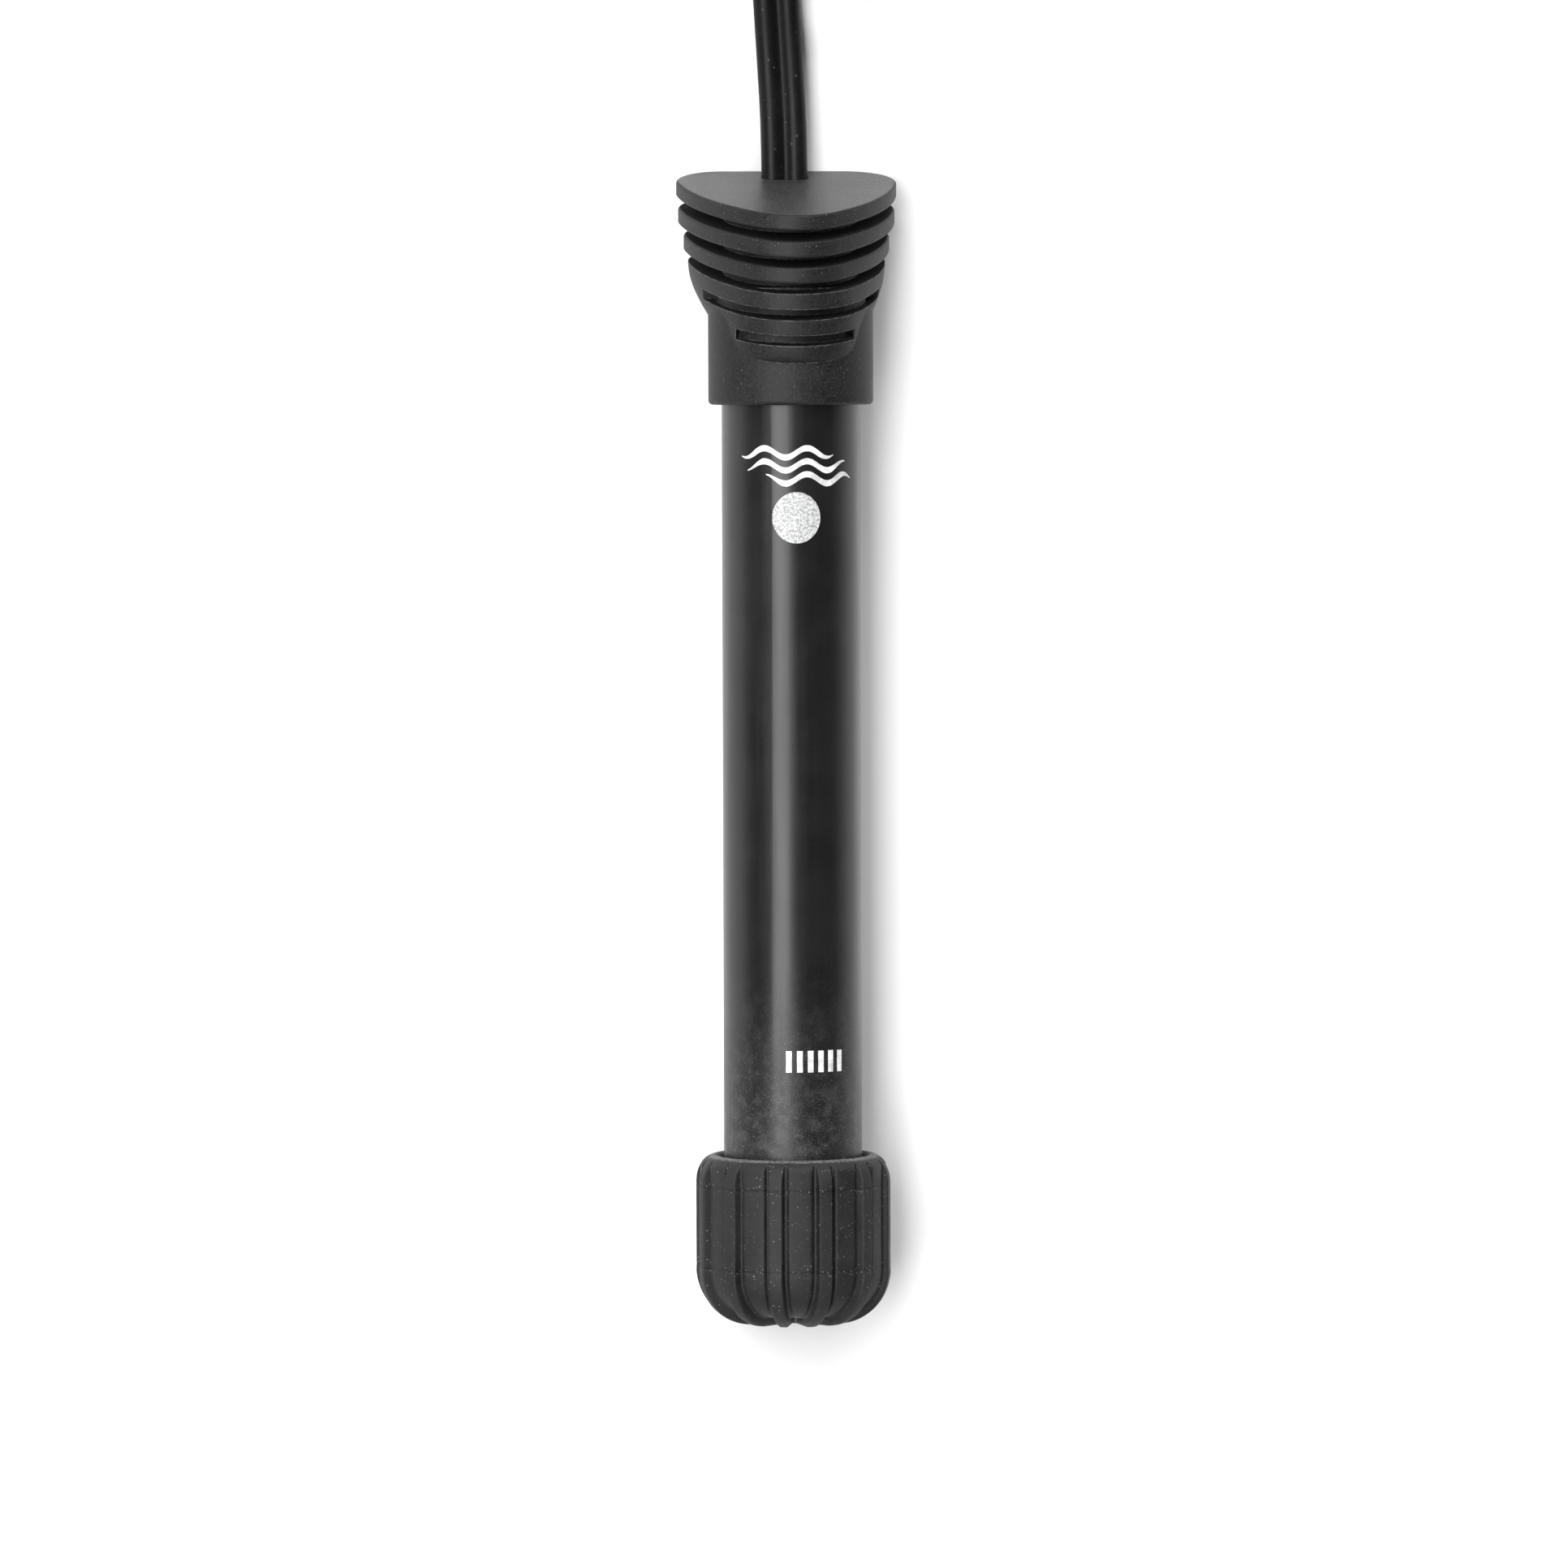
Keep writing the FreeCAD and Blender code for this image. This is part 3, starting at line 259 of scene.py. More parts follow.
def surface(name, dark, light, rough, grain, bump, patch=7.0, speck=None, wear=None,
            metallic=0.0, specular=0.5, stretch=None, strength=0.6, round_over=0.0):
    """A material with patches and grain in its colour, roughness and relief."""
    tree = Tree(name)
    fine = tree.noise(grain, 4.0, stretch)
    broad = tree.noise(patch, 3.0, stretch, 0.4)
    tone = tree.math("ADD", tree.math("MULTIPLY", broad, 0.6), tree.math("MULTIPLY", fine, 0.4))
    colour = tree.mix(tree.spread(tone, 0.35, 0.65), dark, light)
    rough_value = tree.spread(tone, 0.3, 0.7, rough[0], rough[1])
    if speck:
        size, share, tint = speck
        colour = tree.mix(tree.specks(size, share), colour, tint)
    if wear:
        radius, amount, tint = wear
        edge = tree.math("MULTIPLY", tree.worn_edges(radius),
                         tree.spread(tree.noise(1.1), 0.38, 0.62, 0.15, amount))
        colour = tree.mix(edge, colour, tint)
    tree.feed(tree.shader, "Base Color", colour)
    tree.feed(tree.shader, "Roughness", rough_value)
    tree.shader.inputs["Metallic"].default_value = metallic
    tree.shader.inputs["Specular IOR Level"].default_value = specular
    tree.bump(fine, bump, strength, round_over)
    return tree.material


def casing_material():
    """Satin black plastic: faint flow lines along it, fine grain, and dust near the guard."""
    tree = Tree("casing_plastic")
    fine = tree.noise(0.25, 3.0)
    flow = tree.noise(1.2, 3.0, (1.0, 0.04, 1.0))
    broad = tree.noise(9.0, 2.0)
    colour = tree.mix(tree.spread(broad, 0.35, 0.65), grey(0.0065), grey(0.0095))
    axes = tree.add("ShaderNodeSeparateXYZ")
    tree.feed(axes, 0, tree.place)
    foot = tree.spread(axes.outputs["Y"], -0.070, -0.030, 1.0, 0.0)
    dust = tree.spread(tree.noise(0.28, 6.0), 0.50, 0.66)
    haze = tree.spread(tree.noise(2.2, 5.0), 0.42, 0.70)
    dust = tree.math("MULTIPLY", foot, tree.math("ADD", tree.math("MULTIPLY", dust, 0.45),
                                                 tree.math("MULTIPLY", haze, 0.35)))
    colour = tree.mix(dust, colour, grey(0.075))
    specks = tree.math("MULTIPLY", tree.specks(0.55, 0.14, 0.24), tree.math("ADD", foot, 0.10))
    colour = tree.mix(tree.math("MULTIPLY", specks, 0.6), colour, grey(0.16))
    tree.feed(tree.shader, "Base Color", colour)
    level = tree.math("ADD", tree.spread(flow, 0.3, 0.7, 0.28, 0.34),
                      tree.math("MULTIPLY", foot, 0.14))
    tree.feed(tree.shader, "Roughness", level)
    tree.shader.inputs["Specular IOR Level"].default_value = 0.36
    tree.bump(tree.math("ADD", fine, tree.math("MULTIPLY", flow, 0.5)), 0.012, 0.5)
    return tree.material


def window_material():
    """Frosted white plastic with a finely speckled face."""
    tree = Tree("frosted_window")
    fine = tree.noise(0.16, 4.0)
    spots = tree.noise(0.42, 4.0)
    tone = tree.math("ADD", tree.math("MULTIPLY", fine, 0.5), tree.math("MULTIPLY", spots, 0.5))
    colour = tree.mix(tree.spread(tone, 0.42, 0.58), (0.24, 0.245, 0.25), (0.56, 0.56, 0.56))
    tree.feed(tree.shader, "Base Color", colour)
    tree.feed(tree.shader, "Roughness", tree.spread(fine, 0.3, 0.7, 0.42, 0.62))
    tree.shader.inputs["Subsurface Weight"].default_value = 0.15
    tree.shader.inputs["Subsurface Radius"].default_value = (0.0008, 0.0008, 0.0008)
    tree.bump(tree.math("ADD", fine, spots), 0.04, 0.6)
    return tree.material


def cap_material():
    """Fine-grained charcoal plastic: rubbed edges, painted light on the smoother plate face,
    painted shade in the grooves.
    """
    tree = Tree("cap_plastic")
    fine = tree.noise(0.34, 5.0)
    broad = tree.noise(6.0, 3.0)
    tone = tree.math("ADD", tree.math("MULTIPLY", fine, 0.75), tree.math("MULTIPLY", broad, 0.25))
    grain = tree.spread(tone, 0.40, 0.60)
    side = tree.mix(grain, grey(0.0030), grey(0.0125))
    # Painted light: a paler copy of the charcoal for the plate face above the fins, standing in
    # for the light that falls on it.
    painted_light_top = tree.mix(grain, grey(0.022), grey(0.041))
    axes = tree.add("ShaderNodeVectorMath", operation="DOT_PRODUCT")
    tree.feed(axes, 0, tree.place)
    axes.inputs[1].default_value = TOP_FACING
    on_plate = tree.spread(axes.outputs["Value"], TOP_PLANE - 0.0009, TOP_PLANE - 0.0003)
    level = tree.facing(TOP_FACING, 0.90, 0.985)
    # upper marks the plate face that gets the painted light; the same mask also makes that face
    # smoother.
    upper = tree.math("MULTIPLY", level, on_plate)
    colour = tree.mix(upper, side, painted_light_top)
    # Painted shade: the fins' faces down in the grooves are coloured near black for the shade
    # there; the same mask also makes them rougher.
    painted_shade_in_groove = tree.math("MULTIPLY", level, tree.math("SUBTRACT", 1.0, on_plate))
    colour = tree.mix(painted_shade_in_groove, colour, grey(0.0012))
    specks = tree.math("MULTIPLY", tree.specks(0.55, 0.26, 0.30),
                       tree.spread(tree.noise(2.5, 3.0), 0.40, 0.62, 0.15, 0.85))
    colour = tree.mix(specks, colour, grey(0.075))
    ends = tree.add("ShaderNodeSeparateXYZ")
    tree.feed(ends, 0, tree.place)
    rubbed = tree.spread(ends.outputs["X"], -0.0172, -0.0150, 1.0, 0.0)
    amount = tree.math("ADD", tree.spread(tree.noise(1.0, 5.0), 0.38, 0.62, 0.12, 0.90),
                       tree.math("MULTIPLY", rubbed, 0.5), clamp=True)
    edge = tree.math("MULTIPLY", tree.worn_edges(0.34), amount)
    colour = tree.mix(edge, colour, grey(0.15))
    tree.feed(tree.shader, "Base Color", colour)
    rough = tree.math("SUBTRACT", tree.spread(tone, 0.3, 0.7, 0.50, 0.64),
                      tree.math("MULTIPLY", upper, 0.18))
    tree.feed(tree.shader, "Roughness", tree.math("ADD", rough,
                                                  tree.math("MULTIPLY", painted_shade_in_groove, 0.3)))
    tree.shader.inputs["Specular IOR Level"].default_value = 0.27
    tree.bump(tree.math("ADD", fine, tree.math("MULTIPLY", tree.noise(0.6, 2.0), 0.6)), 0.06, 0.8,
              0.22)
    return tree.material


def guard_material():
    """Matt moulded rubber: fine grain, lint and dust specks, paler rubbed edges."""
    tree = Tree("guard_rubber")
    fine = tree.noise(0.30, 5.0)
    broad = tree.noise(5.0, 4.0)
    tone = tree.math("ADD", tree.math("MULTIPLY", fine, 0.5), tree.math("MULTIPLY", broad, 0.5))
    colour = tree.mix(tree.spread(tone, 0.36, 0.64), grey(0.0065), grey(0.0145))
    axes = tree.add("ShaderNodeSeparateXYZ")
    tree.feed(axes, 0, tree.place)
    for height in MOULD_LINES:
        y = (GUARD_TIP_Y + height) * MM
        near = tree.math("ABSOLUTE", tree.math("SUBTRACT", axes.outputs["Y"], y))
        line = tree.spread(near, 0.00006, 0.00024, 0.85, 0.0)
        colour = tree.mix(line, colour, grey(0.004))
        lint = tree.math("MULTIPLY", tree.spread(near, 0.0002, 0.0011, 0.75, 0.0),
                         tree.specks(0.44, 0.34, 0.32))
        colour = tree.mix(lint, colour, grey(0.18))
    clumps = tree.spread(tree.noise(2.8, 3.0), 0.50, 0.66)
    dust = tree.math("MULTIPLY", tree.specks(0.50, 0.30, 0.30),
                     tree.math("ADD", tree.math("MULTIPLY", clumps, 0.75), 0.20))
    colour = tree.mix(dust, colour, grey(0.16))
    rim = tree.math("MULTIPLY", tree.spread(axes.outputs["Y"], RIM_Y - 0.0005, RIM_Y - 0.0001),
                    tree.spread(tree.noise(0.7, 4.0), 0.35, 0.60, 0.25, 0.95))
    colour = tree.mix(rim, colour, grey(0.15))
    edge = tree.math("MULTIPLY", tree.worn_edges(0.30),
                     tree.spread(tree.noise(0.9, 4.0), 0.38, 0.66, 0.10, 0.85))
    colour = tree.mix(edge, colour, grey(0.12))
    tree.feed(tree.shader, "Base Color", colour)
    tree.feed(tree.shader, "Roughness", tree.spread(tone, 0.3, 0.7, 0.54, 0.74))
    tree.shader.inputs["Specular IOR Level"].default_value = 0.32
    tree.bump(tree.math("ADD", fine, tree.math("MULTIPLY", broad, 2.0)), 0.05, 0.7)
    return tree.material


MATERIALS = {
    "casing": casing_material(),
    "window": window_material(),
    "cap": cap_material(),
    "guard": guard_material(),
    "lead_jacket": surface("lead_jacket", grey(0.0035), grey(0.0060), (0.38, 0.50), 0.8, 0.02,
                           speck=(0.9, 0.10, grey(0.04)), specular=0.16, strength=0.35),
    "seal": surface("seal_rubber", (0.16, 0.05, 0.03), (0.22, 0.07, 0.045), (0.5, 0.7), 0.4, 0.03),
    "wire_brown": surface("wire_brown", (0.10, 0.035, 0.012), (0.14, 0.05, 0.02), (0.3, 0.45), 0.5,
                          0.02),
    "wire_blue": surface("wire_blue", (0.01, 0.05, 0.22), (0.02, 0.08, 0.30), (0.3, 0.45), 0.5,
                         0.02),
    "board": surface("board_laminate", (0.16, 0.10, 0.04), (0.24, 0.16, 0.07), (0.45, 0.6), 0.3,
                     0.03, stretch=(1.0, 0.2, 1.0)),
    "brass": surface("brass", (0.55, 0.38, 0.14), (0.68, 0.50, 0.22), (0.25, 0.4), 0.3, 0.01,
                     metallic=1.0, wear=(0.2, 0.4, (0.8, 0.65, 0.35))),
    "bimetal": surface("bimetal", (0.42, 0.40, 0.36), (0.55, 0.52, 0.46), (0.25, 0.42), 0.3, 0.01,
                       metallic=1.0, stretch=(1.0, 0.1, 1.0)),
    "contact": surface("contact_silver", grey(0.62), grey(0.75), (0.2, 0.35), 0.2, 0.01,
                       metallic=1.0),
    "steel": surface("steel", grey(0.38), grey(0.5), (0.28, 0.42), 0.25, 0.01, metallic=1.0,
                     wear=(0.2, 0.4, grey(0.7))),
    "magnet": surface("magnet", grey(0.06), grey(0.10), (0.35, 0.5), 0.4, 0.03),
    "lamp_glass": surface("lamp_glass", (0.75, 0.42, 0.25), (0.9, 0.6, 0.4), (0.06, 0.12), 1.2,
                          0.01),
    "resistor": surface("resistor", (0.50, 0.36, 0.20), (0.62, 0.46, 0.28), (0.4, 0.55), 0.4,
                        0.02),
    "holder": surface("holder_nylon", grey(0.55), grey(0.7), (0.4, 0.55), 0.5, 0.02),
    "ceramic": surface("ceramic", (0.62, 0.58, 0.50), (0.76, 0.72, 0.64), (0.55, 0.75), 0.3, 0.04,
                       speck=(0.9, 0.2, (0.4, 0.35, 0.28))),
    "resistance_wire": surface("resistance_wire", (0.20, 0.17, 0.14), (0.32, 0.28, 0.24),
                               (0.3, 0.45), 0.2, 0.01, metallic=1.0),
    "sand": surface("sand", (0.42, 0.34, 0.22), (0.66, 0.56, 0.40), (0.8, 0.95), 0.25, 0.12,
                    speck=(0.5, 0.4, (0.25, 0.18, 0.10))),
    "cushion": surface("fibre_cushion", grey(0.66), grey(0.82), (0.85, 0.95), 0.2, 0.10,
                       stretch=(1.0, 0.3, 0.3)),
    "strap": surface("strap_rubber", grey(0.012), grey(0.020), (0.5, 0.66), 0.4, 0.05,
                     speck=(0.6, 0.12, grey(0.07)), wear=(0.25, 0.5, grey(0.10)), round_over=0.3),
    "plug": surface("plug_body", grey(0.008), grey(0.014), (0.36, 0.50), 0.45, 0.04,
                    speck=(0.7, 0.10, grey(0.06)), wear=(0.3, 0.5, grey(0.06)), specular=0.4,
                    round_over=0.4),
    "blade": surface("plug_blade", (0.62, 0.58, 0.48), (0.72, 0.68, 0.58), (0.30, 0.42), 0.5,
                     0.004, metallic=1.0, stretch=(1.0, 0.15, 1.0), strength=0.12),
}

for node in nodes.values():
    slots = node.data.materials
    for index, given in enumerate(slots):
        slots[index] = MATERIALS[given.name.split(".")[0]]


# Camera

camera_data = bpy.data.cameras.new("camera")
camera_data.lens = CAMERA_LENS
camera_data.sensor_width = 36.0
camera_data.clip_end = 20.0
camera = bpy.data.objects.new("camera", camera_data)
collection.objects.link(camera)
turn = Matrix.Identity(4)
for angle, axis in zip(CAMERA_TURN, "XYZ"):
    turn = turn @ Matrix.Rotation(angle, 4, axis)
camera.matrix_world = Matrix.Translation(CAMERA_AT) @ turn
bpy.context.scene.camera = camera


# Strap: woven webbing round the hank's waist, with a bound edge along each side

def strap_loop():
    """Points and outward directions round the strap's middle line, in the x-z plane."""
    low, high = STRAP_BOX
    corners = [(high[0] - STRAP_CORNER, high[1] - STRAP_CORNER, 0),
               (low[0] + STRAP_CORNER, high[1] - STRAP_CORNER, 90),
               (low[0] + STRAP_CORNER, low[1] + STRAP_CORNER, 180),
               (high[0] - STRAP_CORNER, low[1] + STRAP_CORNER, 270)]
    stations = []
    for index, (x, z, start) in enumerate(corners):
        bend = []
        for step in range(7):
            angle = math.radians(start + 15 * step)
            out = (math.cos(angle), math.sin(angle))
            bend.append(((x + STRAP_CORNER * out[0], z + STRAP_CORNER * out[1]), out))
        following = corners[(index + 1) % 4]
        angle = math.radians(start + 90)
        out = (math.cos(angle), math.sin(angle))
        here = bend[-1][0]
        there = (following[0] + STRAP_CORNER * out[0], following[1] + STRAP_CORNER * out[1])
        run = math.dist(here, there)
        steps = int(run / WEAVE_STEP)
        straight = [((here[0] + (there[0] - here[0]) * i / steps,
                      here[1] + (there[1] - here[1]) * i / steps), out) for i in range(1, steps)]
        stations += bend + straight
    return stations


def woven_strap():
    loop = strap_loop()
    across = 36
    verts = []
    for index, ((x, z), out) in enumerate(loop):
        for side in (1, -1):
            for i in range(across + 1):
                place = i / across if side > 0 else 1 - i / across
                y = WAIST_Y + STRAP_WIDTH * (place - 0.5)
                rim = smooth((abs(place - 0.5) - 0.40) / 0.04)
                over_or_under = (-1) ** (i + index)
                half = 0.36 + 0.07 * rim + 0.05 * over_or_under * (1 - rim)
                if i in (0, across):
                    half = 0.18
                verts.append((x + side * half * out[0], y, z + side * half * out[1]))
    around = 2 * (across + 1)
    faces = ring_faces(len(loop), around, False)
    last = (len(loop) - 1) * around
    faces += [(last + j, last + (j + 1) % around, (j + 1) % around, j) for j in range(around)]
    strap = mesh_object("woven_strap", verts, faces, MATERIALS["strap"])
    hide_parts("cord_tie")
    return strap


# Lead: out of the cap, under the hank's near turns, round its turns and up to the plug

def height_at(y, level):
    """A strand's height: lifted over the lead at the near end, and over the strap."""
    over_lead = CORD_THICK + 0.1
    lift = over_lead * smooth((172 - y) / 30)
    strap = 0.9 * smooth((24 - abs(y - WAIST_Y)) / 16)
    return level + max(lift, strap)


def arc(centre, start, sweep, spans, radius, level):
    """Control points round an arc, which their spline touches between each pair."""
    step = math.radians(sweep / spans)
    out = []
    for i in range(spans):
        part = (i + 0.5) / spans
        angle = math.radians(start) + (i + 0.5) * step
        r = radius(part) / math.cos(step / 2)
        x, y = centre[0] + r * math.cos(angle), centre[1] + r * math.sin(angle)
        out.append((x, y, height_at(y, level(part))))
    return out


def constant(value):
    return lambda part: value


def ramp(low, high, start, end):
    return lambda part: low + (high - low) * smooth((part - start) / (end - start))


def hank_turns():
    """The hank's turns, lower layer from the inside out and upper layer from the outside in."""
    joint = math.degrees(math.atan2(FAR_Y - WAIST_Y, WAIST_X))
    loop = -(180 + 2 * joint)
    waist = 2 * joint
    points = arc((-WAIST_X, WAIST_Y), 0, joint, 2, constant(WAIST_R), constant(LOWER_Z))
    turns = [(0, 1, LOWER_Z, LOWER_Z), (1, 2, LOWER_Z, LOWER_Z), (2, 2, LOWER_Z, UPPER_Z),
             (2, 1, UPPER_Z, UPPER_Z)]
    for number, (now, after, level, next_level) in enumerate(turns):
        if number:
            points += arc((-WAIST_X, WAIST_Y), -joint, waist, 4,
                          constant(WAIST_R - TURN_PITCH * now), constant(level))
        here, there = LOOP_R + TURN_PITCH * now, LOOP_R + TURN_PITCH * after
        points += arc((0, FAR_Y), 180 + joint, loop, 11, constant(here), constant(level))
        points += arc((WAIST_X, WAIST_Y), 180 - joint, waist, 4,
                      constant(WAIST_R - TURN_PITCH * now), constant(level))
        points += arc((0, NEAR_Y), joint, loop, 11, ramp(here, there, 0.55, 0.95),
                      ramp(level, next_level, 0.05, 0.5))
    points += arc((-WAIST_X, WAIST_Y), -joint, waist, 4, constant(WAIST_R - TURN_PITCH),
                  constant(UPPER_Z))
    points += arc((0, FAR_Y), 180 + joint, -joint, 2, constant(LOOP_R + TURN_PITCH),
                  constant(UPPER_Z))
    points += arc((LAST_TURN_X, FAR_Y), 180, -180, 5, constant(LOOP_R),
                  ramp(UPPER_Z, LAST_TURN_Z, 0.45, 1.0))
    return points


def cord_spline():
    route = LEAD_ROUTE + ENTRY_ROUTE + hank_turns() + TAIL_ROUTE
    curve = bpy.data.curves.new("lead_route", "CURVE")
    curve.dimensions = "3D"
    curve.resolution_u = 10
    spline = curve.splines.new("NURBS")
    spline.points.add(len(route) - 1)
    for control, point in zip(spline.points, route):
        control.co = (*mm(point), 1.0)
    spline.order_u = 3
    spline.use_endpoint_u = True
    guide = bpy.data.objects.new("lead_route", curve)
    line = [v.co.copy() for v in bpy.data.meshes.new_from_object(guide).vertices]
    bpy.data.objects.remove(guide)
    return line


def lead_section():
    """The flat lead's section: two round lobes and the web between them."""
    r = CORD_THICK / 2
    out = []
    lobe_steps = 14
    open_angle = math.radians(33)
    for side in (1, -1):
        for i in range(lobe_steps):
            angle = ((-math.pi + open_angle)
                     + (2 * math.pi - 2 * open_angle) * i / (lobe_steps - 1))
            out.append((side * (r + r * math.cos(angle)), side * r * math.sin(angle)))
    return out


def sweep_lead(line):
    """The lead's surface along its line, turned from flat on the table to on its edge."""
    section = lead_section()
    walked = 0.0
    verts = []
    flat_until, edge_from = 0.058, 0.108
    for i, point in enumerate(line):
        ahead, behind = line[min(i + 1, len(line) - 1)], line[max(i - 1, 0)]
        along = (ahead - behind).normalized()
        if i:
            walked += (point - line[i - 1]).length
        level = along.cross(Vector((0, 0, 1))).normalized()
        upright = level.cross(along).normalized()
        angle = math.pi / 2 * smooth((walked - flat_until) / (edge_from - flat_until))
        across = level * math.cos(angle) + upright * math.sin(angle)
        through = along.cross(across)
        for a, b in section:
            verts.append((point + across * a * MM + through * b * MM) / MM)
    return verts, ring_faces(len(line), len(section))


cord_line = cord_spline()
verts, faces = sweep_lead(cord_line)
lead = mesh_object("lead", verts, faces, MATERIALS["lead_jacket"])
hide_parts("cord_lead", "cord_hank", "cord_tail")
woven_strap()


# Foot guard: ribs, grooves and panels that run out in its shoulder

def rib_depth(station, soft=0.0):
    """How deep the skin lies at a distance from a rib's middle: rib, groove, then panel."""
    groove = GROOVE_DEPTH * smooth((station - GROOVE_START + 0.45 * soft) /
                                   (GROOVE_RUN + 0.9 * soft))
    return groove - (GROOVE_DEPTH - PANEL_DEPTH) * smooth(
        (station - PANEL_START) / PANEL_RUN)


def guard_columns():
    """The signed distance from a rib's middle and the rib's angle, once round the guard."""
    half = RIB_STATIONS + [GAP_MIDDLE]
    across = [-station for station in reversed(half)] + half[1:-1]
    return [(station, (rib + 0.5) * 2 * math.pi / RIBS)
            for rib in range(RIBS) for station in across]


columns = guard_columns()


def column_angle(station, rib_angle, radius):
    """A column's angle at a radius; ribs keep their width until they crowd near the tip."""
    edge = radius * math.sin(math.pi / RIBS)
    core = min(RIBBED_HALF, CROWDED_SHARE * edge)
    size = abs(station)
    if size <= RIBBED_HALF:
        aside = size * core / RIBBED_HALF
    else:
        aside = core + (size - RIBBED_HALF) / (GAP_MIDDLE - RIBBED_HALF) * (edge - core)
    return rib_angle + math.copysign(math.asin(aside / radius), station)


def guard_point(angle, radius, height):
    return (radius * math.sin(angle), GUARD_TIP_Y + height, AXIS_Z + radius * math.cos(angle))


def mould_dent(height):
    return sum(DENT_DEPTH * math.exp(-((height - line) / DENT_WIDTH) ** 2)
               for line in MOULD_LINES)


def foot_row(radius, height, share):
    """A row on the tip: share is 0 under the tip and 1 at the wall."""
    row = []
    for station, rib_angle in columns:
        depth = rib_depth(abs(station), 1 - share) * smooth(
            (radius - PLAIN_TIP_R) / TIP_FADE)
        inward = depth * share
        upward = FOOT_DEPTH * min(1.0, depth / PANEL_DEPTH) * math.sqrt(1 - share ** 2)
        angle = column_angle(station, rib_angle, radius)
        row.append(guard_point(angle, radius - inward, height + upward))
    return row


def wall_row(height, skin_r):
    """A row on the wall or the shoulder, where panels and grooves run straight up."""
    row = []
    for station, rib_angle in columns:
        cut_r = GUARD_R - rib_depth(abs(station)) - mould_dent(height)
        near = max(0.0, EDGE_SOFTENED - abs(cut_r - skin_r)) / EDGE_SOFTENED
        radius = min(cut_r, skin_r) - EDGE_DROP * near ** 2
        row.append(guard_point(column_angle(station, rib_angle, GUARD_R), radius, height))
    return row


def plain_row(radius, height):
    return [guard_point(column_angle(station, rib_angle, GUARD_R), radius, height)
            for station, rib_angle in columns]


def guard_rows():
    rows = [foot_row(radius, 0.0, 0.0) for radius in TIP_RADII]
    foot_r = GUARD_R - FOOT_FLAT_R
    for i in range(TIP_ROWS):
        turn = math.pi / 2 * i / TIP_ROWS
        rows.append(foot_row(FOOT_FLAT_R + foot_r * math.sin(turn),
                             FOOT_HEIGHT * (1 - math.cos(turn)), math.sin(turn)))
    shoulder_start = GUARD_HEIGHT - SHOULDER[1]
    heights = [FOOT_HEIGHT, 9.4, 9.5, 9.6, 9.7, 9.8, 11, 13, 15, 17, 19, 21, 22.5]
    rows += [wall_row(height, GUARD_R) for height in heights]
    for i in range(SHOULDER_ROWS + 1):
        turn = math.pi / 2 * i / SHOULDER_ROWS
        rows.append(wall_row(shoulder_start + SHOULDER[1] * math.sin(turn),
                             GUARD_R - SHOULDER[0] * (1 - math.cos(turn))))
    rim_r = GUARD_R - SHOULDER[0]
    inside = [(rim_r - 0.12, 27.59), (rim_r - 0.24, 27.5), (12.1, 27.1), (11.34, 26.4),
              (11.32, 16.0), (11.32, 4.6), (11.2, 4.47), (6.0, 4.46)]
    return rows + [plain_row(*place) for place in inside]


rows = guard_rows()
guard = mesh_object("ribbed_guard", [point for row in rows for point in row],
                    ring_faces(len(rows), len(columns)), MATERIALS["guard"], body="guard")
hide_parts("foot_guard")


# Marks printed on the casing: three waves and a row of bars

def printed(name, outlines):
    """Thin patches wrapped round the casing; an outline gives low and high y at each x."""
    verts, faces = [], []
    for outline in outlines:
        first = len(verts)
        for x, low, high in outline:
            for radius in (SHEATH_R - 0.02, SHEATH_R + 0.03):
                angle = x / SHEATH_R
                for y in (low, high):
                    verts.append((radius * math.sin(angle), y,
                                  AXIS_Z + radius * math.cos(angle)))
        count = len(outline)
        for i in range(count - 1):
            a, b = first + 4 * i, first + 4 * (i + 1)
            faces += [(a, a + 1, b + 1, b), (a + 2, b + 2, b + 3, a + 3),
                      (a, b, b + 2, a + 2), (a + 1, a + 3, b + 3, b + 1)]
        last = first + 4 * (count - 1)
        faces += [(first, first + 2, first + 3, first + 1), (last, last + 1, last + 3, last + 2)]
    piece = mesh_object(name, verts, faces, MATERIALS["print"], smooth_shade=False)
    return piece


MATERIALS["print"] = surface("white_print", grey(0.42), grey(0.72), (0.4, 0.6), 0.25, 0.01,
                             patch=1.6)


def wave(centre_y, start, end):
    outline = []
    steps = 48
    for i in range(steps + 1):
        x = start + (end - start) * i / steps
        taper = min(1.0, 6 * i / steps, 6 * (steps - i) / steps)
        middle = centre_y + 0.75 * math.sin(2 * math.pi * x / 7.0)
        half = 0.08 + 0.42 * taper
        outline.append((x, middle - half, middle + half))
    return outline


def bar(x, y, width, height):
    return [(x + width * i / 3, y, y + height) for i in range(4)]


printed("wave_mark", [wave(48.1, -9.6, 6.4), wave(46.0, -8.4, 9.0), wave(43.9, -5.0, 10.4)])
printed("bar_mark", [bar(-2.0 + 1.78 * i, -52.2, 0.95, 3.5) for i in range(6)])


# Stage and lights

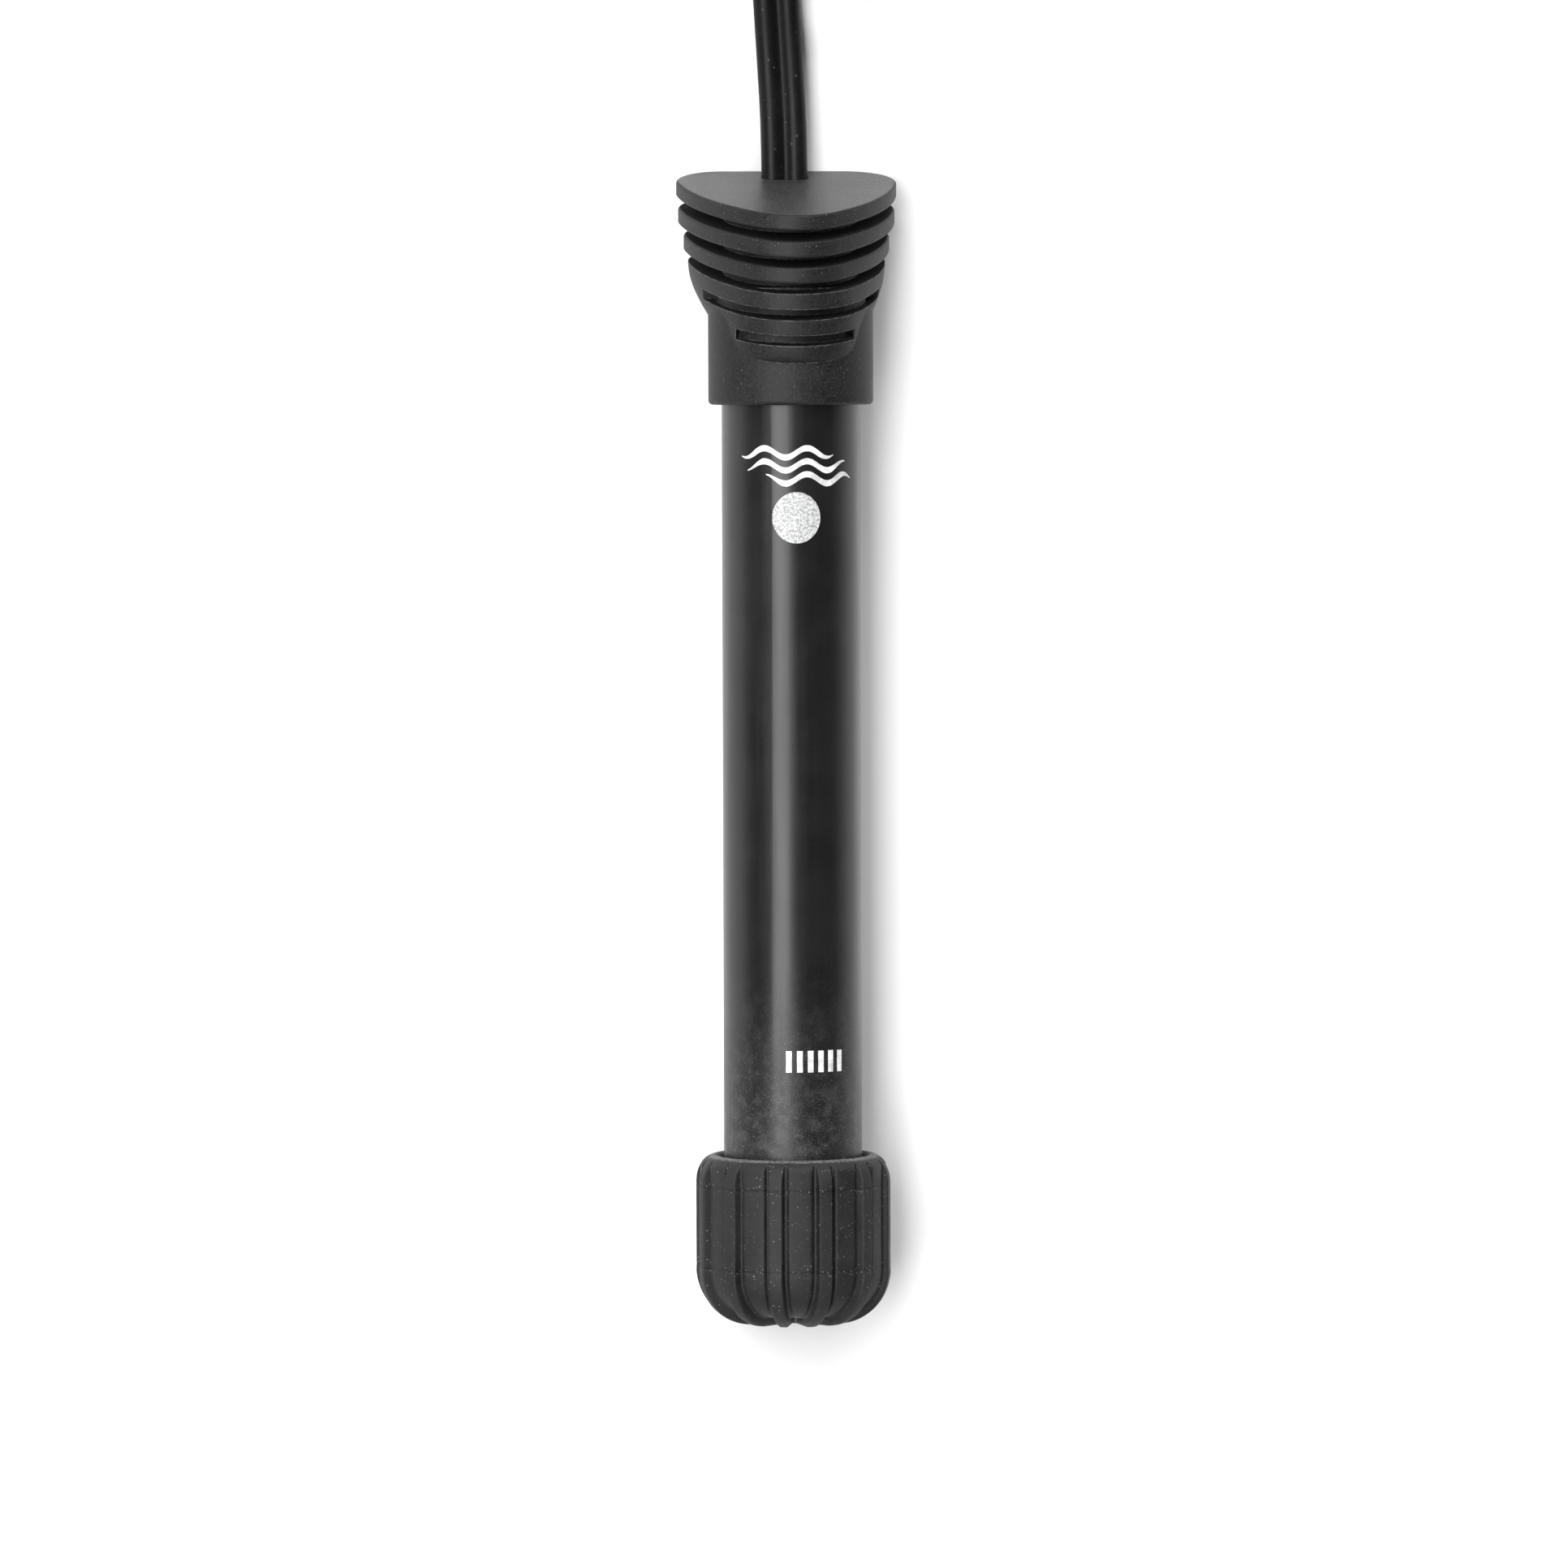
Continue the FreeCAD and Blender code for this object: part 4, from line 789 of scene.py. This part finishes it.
def stage_floor():
    tree = Tree("pale_floor")
    cloud = tree.noise(420.0, 2.0)
    colour = tree.mix(tree.spread(cloud, 0.3, 0.7), grey(0.80), grey(0.83))
    tree.feed(tree.shader, "Base Color", colour)
    tree.feed(tree.shader, "Roughness", tree.spread(cloud, 0.3, 0.7, 0.75, 0.85))
    tree.shader.inputs["Specular IOR Level"].default_value = 0.2
    mesh = bpy.data.meshes.new("floor")
    half = 6.0
    mesh.from_pydata([(-half, -half, 0), (half, -half, 0), (half, half, 0), (-half, half, 0)], [],
                     [(0, 1, 2, 3)])
    mesh.materials.append(tree.material)
    floor = bpy.data.objects.new("floor", mesh)
    collection.objects.link(floor)


def softbox(name, place, aim, size, power):
    data = bpy.data.lights.new(name, "AREA")
    data.shape = "RECTANGLE"
    data.size, data.size_y = size
    data.energy = power
    light = bpy.data.objects.new(name, data)
    light.location = place
    facing = (Vector(aim) - Vector(place)).normalized()
    side = Vector((0, 1, 0)).cross(-facing).normalized()
    up = (-facing).cross(side)
    turned = Matrix((side, up, -facing)).transposed().to_4x4()
    light.matrix_world = Matrix.Translation(place) @ turned
    collection.objects.link(light)


def studio_world():
    """Bright near the horizon and dim overhead, like white walls under a dark ceiling."""
    world = bpy.data.worlds.new("studio")
    world.use_nodes = True
    tree = world.node_tree
    place = tree.nodes.new("ShaderNodeTexCoord").outputs["Generated"]
    split = tree.nodes.new("ShaderNodeSeparateXYZ")
    tree.links.new(place, split.inputs[0])
    strength = tree.nodes.new("ShaderNodeMath")
    strength.operation = "MULTIPLY"
    for index, (axis, numbers) in enumerate((("Z", WORLD_FADE), ("Y", FOOT_FADE))):
        fade = tree.nodes.new("ShaderNodeMapRange")
        fade.interpolation_type = "SMOOTHSTEP"
        tree.links.new(split.outputs[axis], fade.inputs["Value"])
        for socket, number in zip(RANGE_SOCKETS, numbers):
            fade.inputs[socket].default_value = number
        tree.links.new(fade.outputs[0], strength.inputs[index])
    background = tree.nodes["Background"]
    background.inputs["Color"].default_value = (0.97, 0.985, 1.0, 1.0)
    tree.links.new(strength.outputs[0], background.inputs["Strength"])
    bpy.context.scene.world = world


stage_floor()
softbox("key", (-0.42, 0.0, 1.0), (0, 0, 0), (0.55, 1.3), 19.0)
softbox("top_end", (0.05, 1.3, 0.9), (0, 0.05, 0), (1.3, 0.7), 24.0)
softbox("foot_end", (0.15, -1.3, 0.9), (0, -0.05, 0), (1.3, 0.7), 7.0)
studio_world()
bpy.context.scene.view_settings.view_transform = "Standard"
